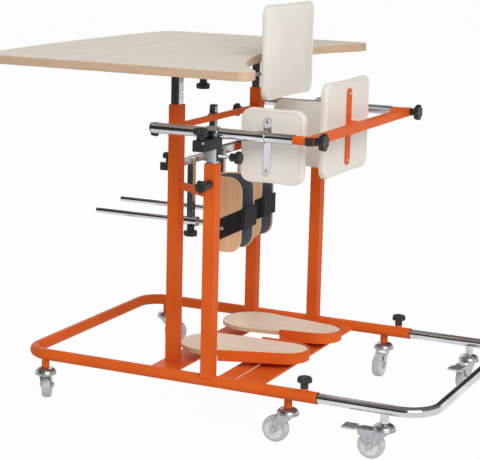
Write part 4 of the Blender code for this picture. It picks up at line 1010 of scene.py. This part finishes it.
def strap_walk(reach, wing):
    """Centre line of the strap: along one wing, across the open back, along the other wing."""
    corner = STRAP_CORNER_R
    length = STRAP_FRONT + wing
    half = [Vector((-reach, STRAP_FRONT - length * k / STRAP_STEPS)) for k in range(STRAP_STEPS)]
    for k in range(STRAP_CORNER_STEPS + 1):
        angle = k / STRAP_CORNER_STEPS * pi / 2
        half.append(Vector((corner - reach, -wing)) - corner * Vector((cos(angle), sin(angle))))
    shares = [2 * k / STRAP_STEPS - 1 for k in range(1, STRAP_STEPS)]
    across = [Vector(((reach - corner) * share, -wing - corner)) for share in shares]
    return half + across + mirrored(half)


def strap_band(shape, walk, middle, offset, thick, width):
    """A woven band along a walk, with rolled selvedges and a weave map in metres."""
    lay = shape.bm.loops.layers.uv.get("weave") or shape.bm.loops.layers.uv.new("weave")
    half = width / 2
    levels = [(-half, 0.0), (-half + SELVEDGE, 0.5), (-half + 2 * SELVEDGE, STRAP_BODY)]
    levels += [(0.0, STRAP_BODY)] + [(-z, share) for z, share in reversed(levels)]
    section = [(offset + thick * (0.5 + share), z) for z, share in levels]
    section += [(offset + thick * (0.5 - share), z) for z, share in reversed(levels[1:-1])]
    rows = []
    runs = []
    run = 0.0
    for k, point in enumerate(walk):
        before = walk[max(k - 1, 0)]
        along = walk[min(k + 1, len(walk) - 1)] - before
        out = Vector((along.y, -along.x)).normalized()
        run += (point - before).length
        runs.append(run)
        height = -STRAP_DROP - STRAP_SLOPE * point.y
        rows.append([middle + Vector((*(point + out * reach), height + z)) for reach, z in section])
    made, faces = shape.rows(rows)
    spots = {v: (run, z) for row, run in zip(made, runs) for v, (_, z) in zip(row, section)}
    for face in faces:
        for loop in face.loops:
            loop[lay].uv = spots[loop.vert]


def make_knees(ply, ply_side, lining, strap_black, steel):
    """Bent plywood cups with foam lining and riveted hook-and-loop straps."""
    for side, _ in SIDES:
        node = "knee_cup_" + side
        low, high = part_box(node)
        radius = (high.x - low.x) / 2
        wing = high.y - radius - low.y
        half_h = (high.z - low.z) / 2
        middle = Vector(((low.x + high.x) / 2, high.y - radius, (low.z + high.z) / 2))
        walk = cup_walk(radius - CUP_WALL / 2, wing)
        shell = wall_band(walk, middle, CUP_WALL, half_h, wing, CUP_EDGE_R, 1)
        stand_in(node, shell, [ply, ply_side], "shell")
        foam_wing = wing - FOAM_SHORT
        walk = cup_walk(radius - CUP_WALL - FOAM_GAP - FOAM_T / 2, foam_wing)
        pad = wall_band(walk, middle, FOAM_T, half_h - FOAM_LOW, foam_wing, FOAM_EDGE_R, 0)
        foam_piece = piece("knee_lining_" + side, pad, [lining], body_of(node))
        strap = Shape()
        reach = radius + STRAP_GAP + STRAP_T / 2
        walk = strap_walk(reach, wing)
        strap_band(strap, walk, middle, -STRAP_T / 2, STRAP_T, STRAP_W)
        tab = [p for p in walk if p.x < 0 and p.y < STRAP_FRONT - TAB_BACK][:TAB_POINTS]
        strap_band(strap, tab, middle, STRAP_T / 2, TAB_T, STRAP_W - TAB_NARROWER)
        stand_in("knee_strap_" + side, strap, [strap_black], "woven")
        y = STRAP_FRONT - RIVET_BACK
        z = -STRAP_DROP - STRAP_SLOPE * y
        outs = [Vector((sign, 0, 0)) for _, sign in SIDES]
        rivets = [(middle + out * (reach + STRAP_T / 2) + Vector((0, y, z)), out) for out in outs]
        add_screws("strap_rivets_" + side, rivets, RIVET_R, steel, body_of(node))


def board_shape(node):
    """A board with rounded edges: the first material on its flat faces, the second on its sides."""
    bm = soften(solid(node), edge_of(node), segments=BOARD_EDGE_STEPS)
    bm.normal_update()
    for face in bm.faces:
        face.material_index = 0 if abs(face.normal.z) > BOARD_FLAT else 1
    return Shape(bm)


def make_table(board, band, chrome, dark):
    """Banded board, chrome frame with plugs in the under rail, and chest slider with screws."""
    shape = board_shape("table_top")
    piece("table_board", shape, [board, band], "table", "table_top", smooth=BOARD_SMOOTH_DEG)
    dressed("table_frame", chrome)
    dressed("chest_slider", chrome)
    low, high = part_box("chest_slider")
    spots = [((0, low.y + CHEST_PLATE_T, high.z - drop), (0, 1, 0)) for drop in CHEST_SCREW_DROPS]
    add_screws("chest_screws", spots, CHEST_SCREW_R, chrome, "chest")
    _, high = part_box("table_frame")
    rear, front = UNDER_RAIL_Y
    wall = UNDER_RAIL_WALL
    corners = ((rear + wall, high.z - UNDER_RAIL_H + wall), (front - wall, high.z - wall))
    plugs = Shape().end_caps(high.x, UNDER_PLUG_SPAN, *corners, UNDER_PLUG_EDGE_R)
    piece("under_rail_plugs", plugs, [dark], "table")


def round_strip(node, radius):
    """A flat upright strip with round corners at its two ends, and softened edges."""
    low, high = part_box(node)

    def corner(edge):
        middle = (edge.verts[0].co + edge.verts[1].co) / 2
        along = edge.verts[1].co - edge.verts[0].co
        level = abs(along.z) < 0.5 * along.length
        return level and along.length < STRIP_T_MOST and min(high.z - middle.z, middle.z - low.z) < WELD

    bm = soften(solid(node), radius, corner, STRIP_CORNER_STEPS)
    return Shape(soften(bm, edge_of(node)))


def make_clamp(side, sign, chrome, dark, steel):
    """Rail post with a chrome collar, and the black clamp block outside it with its pin."""
    node = "rail_post_" + side
    low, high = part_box(node)
    outer = max(abs(low.x), abs(high.x))
    bm = softened(node)
    for face in bm.faces:
        spot = face.calc_center_median()
        beside = abs(spot.y - CLAMP_HEAD_Y) > CLAMP_HEAD_L / 2 + SKIN
        face.material_index = 1 if beside or abs(spot.x) > outer - CLAMP_OUT else 0
    stand_in(node, Shape(bm), [chrome, dark])
    pin_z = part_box("rail_knob_" + side)[0].z + CLAMP_PIN_RISE
    pin = ((sign * outer, CLAMP_PIN_Y, pin_z), (sign, 0, 0))
    add_screws("clamp_pin_" + side, [pin], CLAMP_PIN_R, steel, body_of(node))


def make_pelvic(chrome, paint, dark, steel):
    """Rails, clamp heads, gate and hip brackets with their plugs and screws."""
    for side, sign in SIDES:
        node = "side_rail_" + side
        low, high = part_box(node)
        ends = [Vector(((low.x + high.x) / 2, y, (low.z + high.z) / 2)) for y in (low.y, high.y)]
        stand_in(node, Shape().tube(ends, RAIL_D, CHROME_WALL), [chrome], "tube")
        plug = Shape()
        plug.turned(RAIL_PLUG, Vector((0, 1, 0)), ends[1])
        piece("rail_plug_" + side, plug, [dark], "rails")
        make_clamp(side, sign, chrome, dark, steel)
        node = "hip_bracket_" + side
        stand_in(node, round_strip(node, HIP_STRIP_ROUND), [chrome])
        low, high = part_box(node)
        pad_low, pad_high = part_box("hip_pad_" + side)
        x = (pad_low.x if sign < 0 else pad_high.x) + sign * STRIP_SCREW_OUT
        heights = (high.z - HIP_SCREW_INSET, low.z + HIP_SCREW_INSET)
        spots = [((x, (low.y + high.y) / 2, z), (sign, 0, 0)) for z in heights]
        add_screws("hip_screws_" + side, spots, HIP_SCREW_R, steel, body_of(node))
    stand_in("gate_bar", round_strip("gate_bar", GATE_STRIP_ROUND), [paint])
    low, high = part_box("gate_bar")
    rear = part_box("rear_pad")[0].y - STRIP_SCREW_OUT
    heights = (high.z - GATE_SCREW_INSET, low.z + GATE_SCREW_INSET)
    add_screws("gate_screws", [((0, rear, z), (0, -1, 0)) for z in heights], GATE_SCREW_R, steel, "gate")
    height = mid([corner.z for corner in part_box("side_rail_left")])
    half = GATE_BAR / 2 - GATE_CAP_INSET
    y = low.y + GATE_BAR / 2
    corners = [(y + k * half, height + k * half) for k in (-1, 1)]
    caps = Shape().end_caps(high.x, (CAP_GAP, CAP_T), *corners, GATE_CAP_EDGE_R)
    piece("gate_caps", caps, [dark], "gate")


def make_hanger(chrome, dark, black, steel):
    """Knee hanger with capped cross bar, its two knobs and the knee rods."""
    bm = solid("knee_hanger")
    _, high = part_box("knee_hanger")
    ends = [v.co for v in bm.verts if abs(v.co.x) > high.x - WELD]
    bar_top = max(p.z for p in ends)
    cross_y = mid([p.y for p in ends])
    post = [v.co for v in bm.verts if v.co.z > high.z - WELD]
    post_half = max(p.x for p in post)
    post_y = mid([p.y for p in post])
    spare = [v for v in bm.verts if v.co.z > bar_top + WELD and abs(v.co.x) > HANGER_KNOB_X]
    knob_x = mid([v.co.x for v in spare if v.co.x > 0])
    knob_top = max(v.co.z for v in spare)
    bmesh.ops.delete(bm, geom=spare, context="VERTS")
    bmesh.ops.holes_fill(bm, edges=[e for e in bm.edges if e.is_boundary], sides=0)
    stand_in("knee_hanger", Shape(soften(bm, edge_of("knee_hanger"))), [chrome])
    rise = knob_top - bar_top
    for side, sign in SIDES:
        shape = knob_shape(rise, rise - KNOB_T)
        matrix = Matrix.Translation((sign * knob_x, cross_y, knob_top))
        piece("hanger_knob_" + side, shape, [black, steel], "hanger", matrix=matrix)
    half = CROSS_BAR / 2 + CAP_GAP
    corners = ((cross_y - half, bar_top - CROSS_BAR - CAP_GAP), (cross_y + half, bar_top + CAP_GAP))
    caps = Shape().end_caps(high.x, CROSS_CAP_SPAN, *corners, HANGER_CAP_EDGE_R)
    corners = ((-post_half, CAP_GAP), (post_half, POST_CAP_T))
    caps.box(*[(half, post_y + half, high.z + z) for half, z in corners], HANGER_CAP_EDGE_R)
    piece("hanger_caps", caps, [dark], "hanger")
    for side, _ in SIDES:
        dressed("knee_rod_" + side, chrome)


def make_feet(wood, wood_side, paint):
    """Wooden foot boards and their steel heel cups."""
    for side, _ in SIDES:
        node = "foot_board_" + side
        stand_in(node, board_shape(node), [wood, wood_side], "wood", smooth=BOARD_SMOOTH_DEG)
        dressed("heel_cup_" + side, paint)


def aim(thing, place, way, front):
    """Puts a lamp or card at a place, with its front turned a given way."""
    thing.location = place
    thing.rotation_euler = Vector(way).to_track_quat(front, "Y").to_euler()


def make_floor():
    """A pale floor that takes shadows, and looks almost plain white."""
    pale = bpy.data.materials.new("pale_floor")
    nodes = Nodes(pale)
    nodes.tree.nodes.clear()
    share = nodes.maths("MULTIPLY", nodes.seen(), FLOOR_GLOW)
    matt = nodes.node("ShaderNodeBsdfDiffuse", {"Color": (FLOOR_WHITE, FLOOR_WHITE, FLOOR_WHITE, 1)})
    glow = nodes.node("ShaderNodeEmission", {})
    inputs = {"Fac": share, 1: matt.outputs["BSDF"], 2: glow.outputs["Emission"]}
    mix = nodes.node("ShaderNodeMixShader", inputs)
    nodes.node("ShaderNodeOutputMaterial", {"Surface": mix.outputs["Shader"]})
    bm = bmesh.new()
    bmesh.ops.create_circle(bm, cap_ends=True, segments=FLOOR_SIDES, radius=FLOOR_R)
    floor = added("floor", mesh_of(bm, "floor", [pale]))


def make_stage():
    """Pale floor, white surroundings, two soft lamps and four grey cards that only metal reflects."""
    make_floor()
    scene = bpy.context.scene
    scene.world = bpy.data.worlds.new("studio")
    nodes = Nodes(scene.world)
    backdrop = nodes.tree.nodes["Background"].inputs
    backdrop["Color"].default_value = (1, 1, 1, 1)
    nodes.feed(backdrop["Strength"], nodes.between(nodes.seen(), AMBIENT, 1.0))
    for name, place, size, watts in LAMPS:
        lamp = bpy.data.lights.new(name, "AREA")
        lamp.energy = watts
        lamp.size = size
        aim(added(name, lamp), place, AIM - Vector(place), "-Z")
    for name, place, way, half, grey in CARDS:
        dull = Finish(name + "_card", Base_Color=(grey, grey, grey, 1), Roughness=1.0).material
        bm = bmesh.new()
        bmesh.ops.create_grid(bm, x_segments=1, y_segments=1, size=half)
        card = added(name + "_card", mesh_of(bm, name + "_card", [dull]))
        aim(card, place, way, "Z")
        card.visible_camera = card.visible_diffuse = card.visible_shadow = False
    scene.view_settings.view_transform = "Standard"


def make_camera():
    """The photograph's camera."""
    data = bpy.data.cameras.new("camera")
    data.lens = LENS_MM
    data.sensor_width = SENSOR_MM
    data.sensor_fit = "HORIZONTAL"
    right = CAMERA_FORWARD.cross(CAMERA_UP).normalized()
    up = right.cross(CAMERA_FORWARD).normalized()
    turn = Matrix((right, up, -CAMERA_FORWARD.normalized())).transposed()
    bpy.context.scene.camera = added("camera", data, Matrix.Translation(CAMERA_PLACE) @ turn.to_4x4())


def main():
    make_camera()
    paint = powder_coat()
    chrome = chrome_plate()
    zinc = zinc_plate("zinc_steel", "A9ACB0", "D0D2D5", 0.24, 0.44)
    castor = zinc_plate("castor_plate", "A2A5A9", "C4C7CB", 0.22, 0.42)
    black = moulded_plastic("black_plastic", "1E1F1E", 0.30, 0.52)
    dark = moulded_plastic("black_cap", "232323", 0.42, 0.62)
    tyre = moulded_plastic("grey_tyre", "C2C3C5", 0.48, 0.66, 300)
    hub = moulded_plastic("white_hub", "DADBDC", 0.34, 0.52, 400)
    board = timber("maple_laminate", "DCD0C2", "CEC1B1", "BBAA96", (1.0, 16, 16), (0.50, 0.64), 0.2)
    band = timber("edge_band", "D2B497", "C2A286", "AA8E74", (3, 3, 40), gloss=0.2)
    wood = timber("foot_wood", "F0DAC4", "E4CCB2", "C4A484", (18, 1.4, 18), gloss=0.3)
    wood_side = timber("foot_wood_edge", "D8BB98", "C4A27C", "A3805B", (20, 20, 60))
    ply = timber("bent_plywood", "ECC398", "DDAE7E", "CB9C6E", (22, 22, 1.6), gloss=0.3)
    make_base(paint, dark)
    make_extension(chrome)
    make_uprights(paint)
    make_castors(castor, tyre, hub, zinc)
    make_table(board, band, chrome, dark)
    make_pelvic(chrome, paint, dark, zinc)
    make_hanger(chrome, dark, black, zinc)
    make_knees(ply, ply_edge(), foam(), webbing(), zinc)
    make_feet(wood, wood_side, paint)
    make_knobs(black, zinc)
    make_pads(vinyl())
    make_stage()


main()
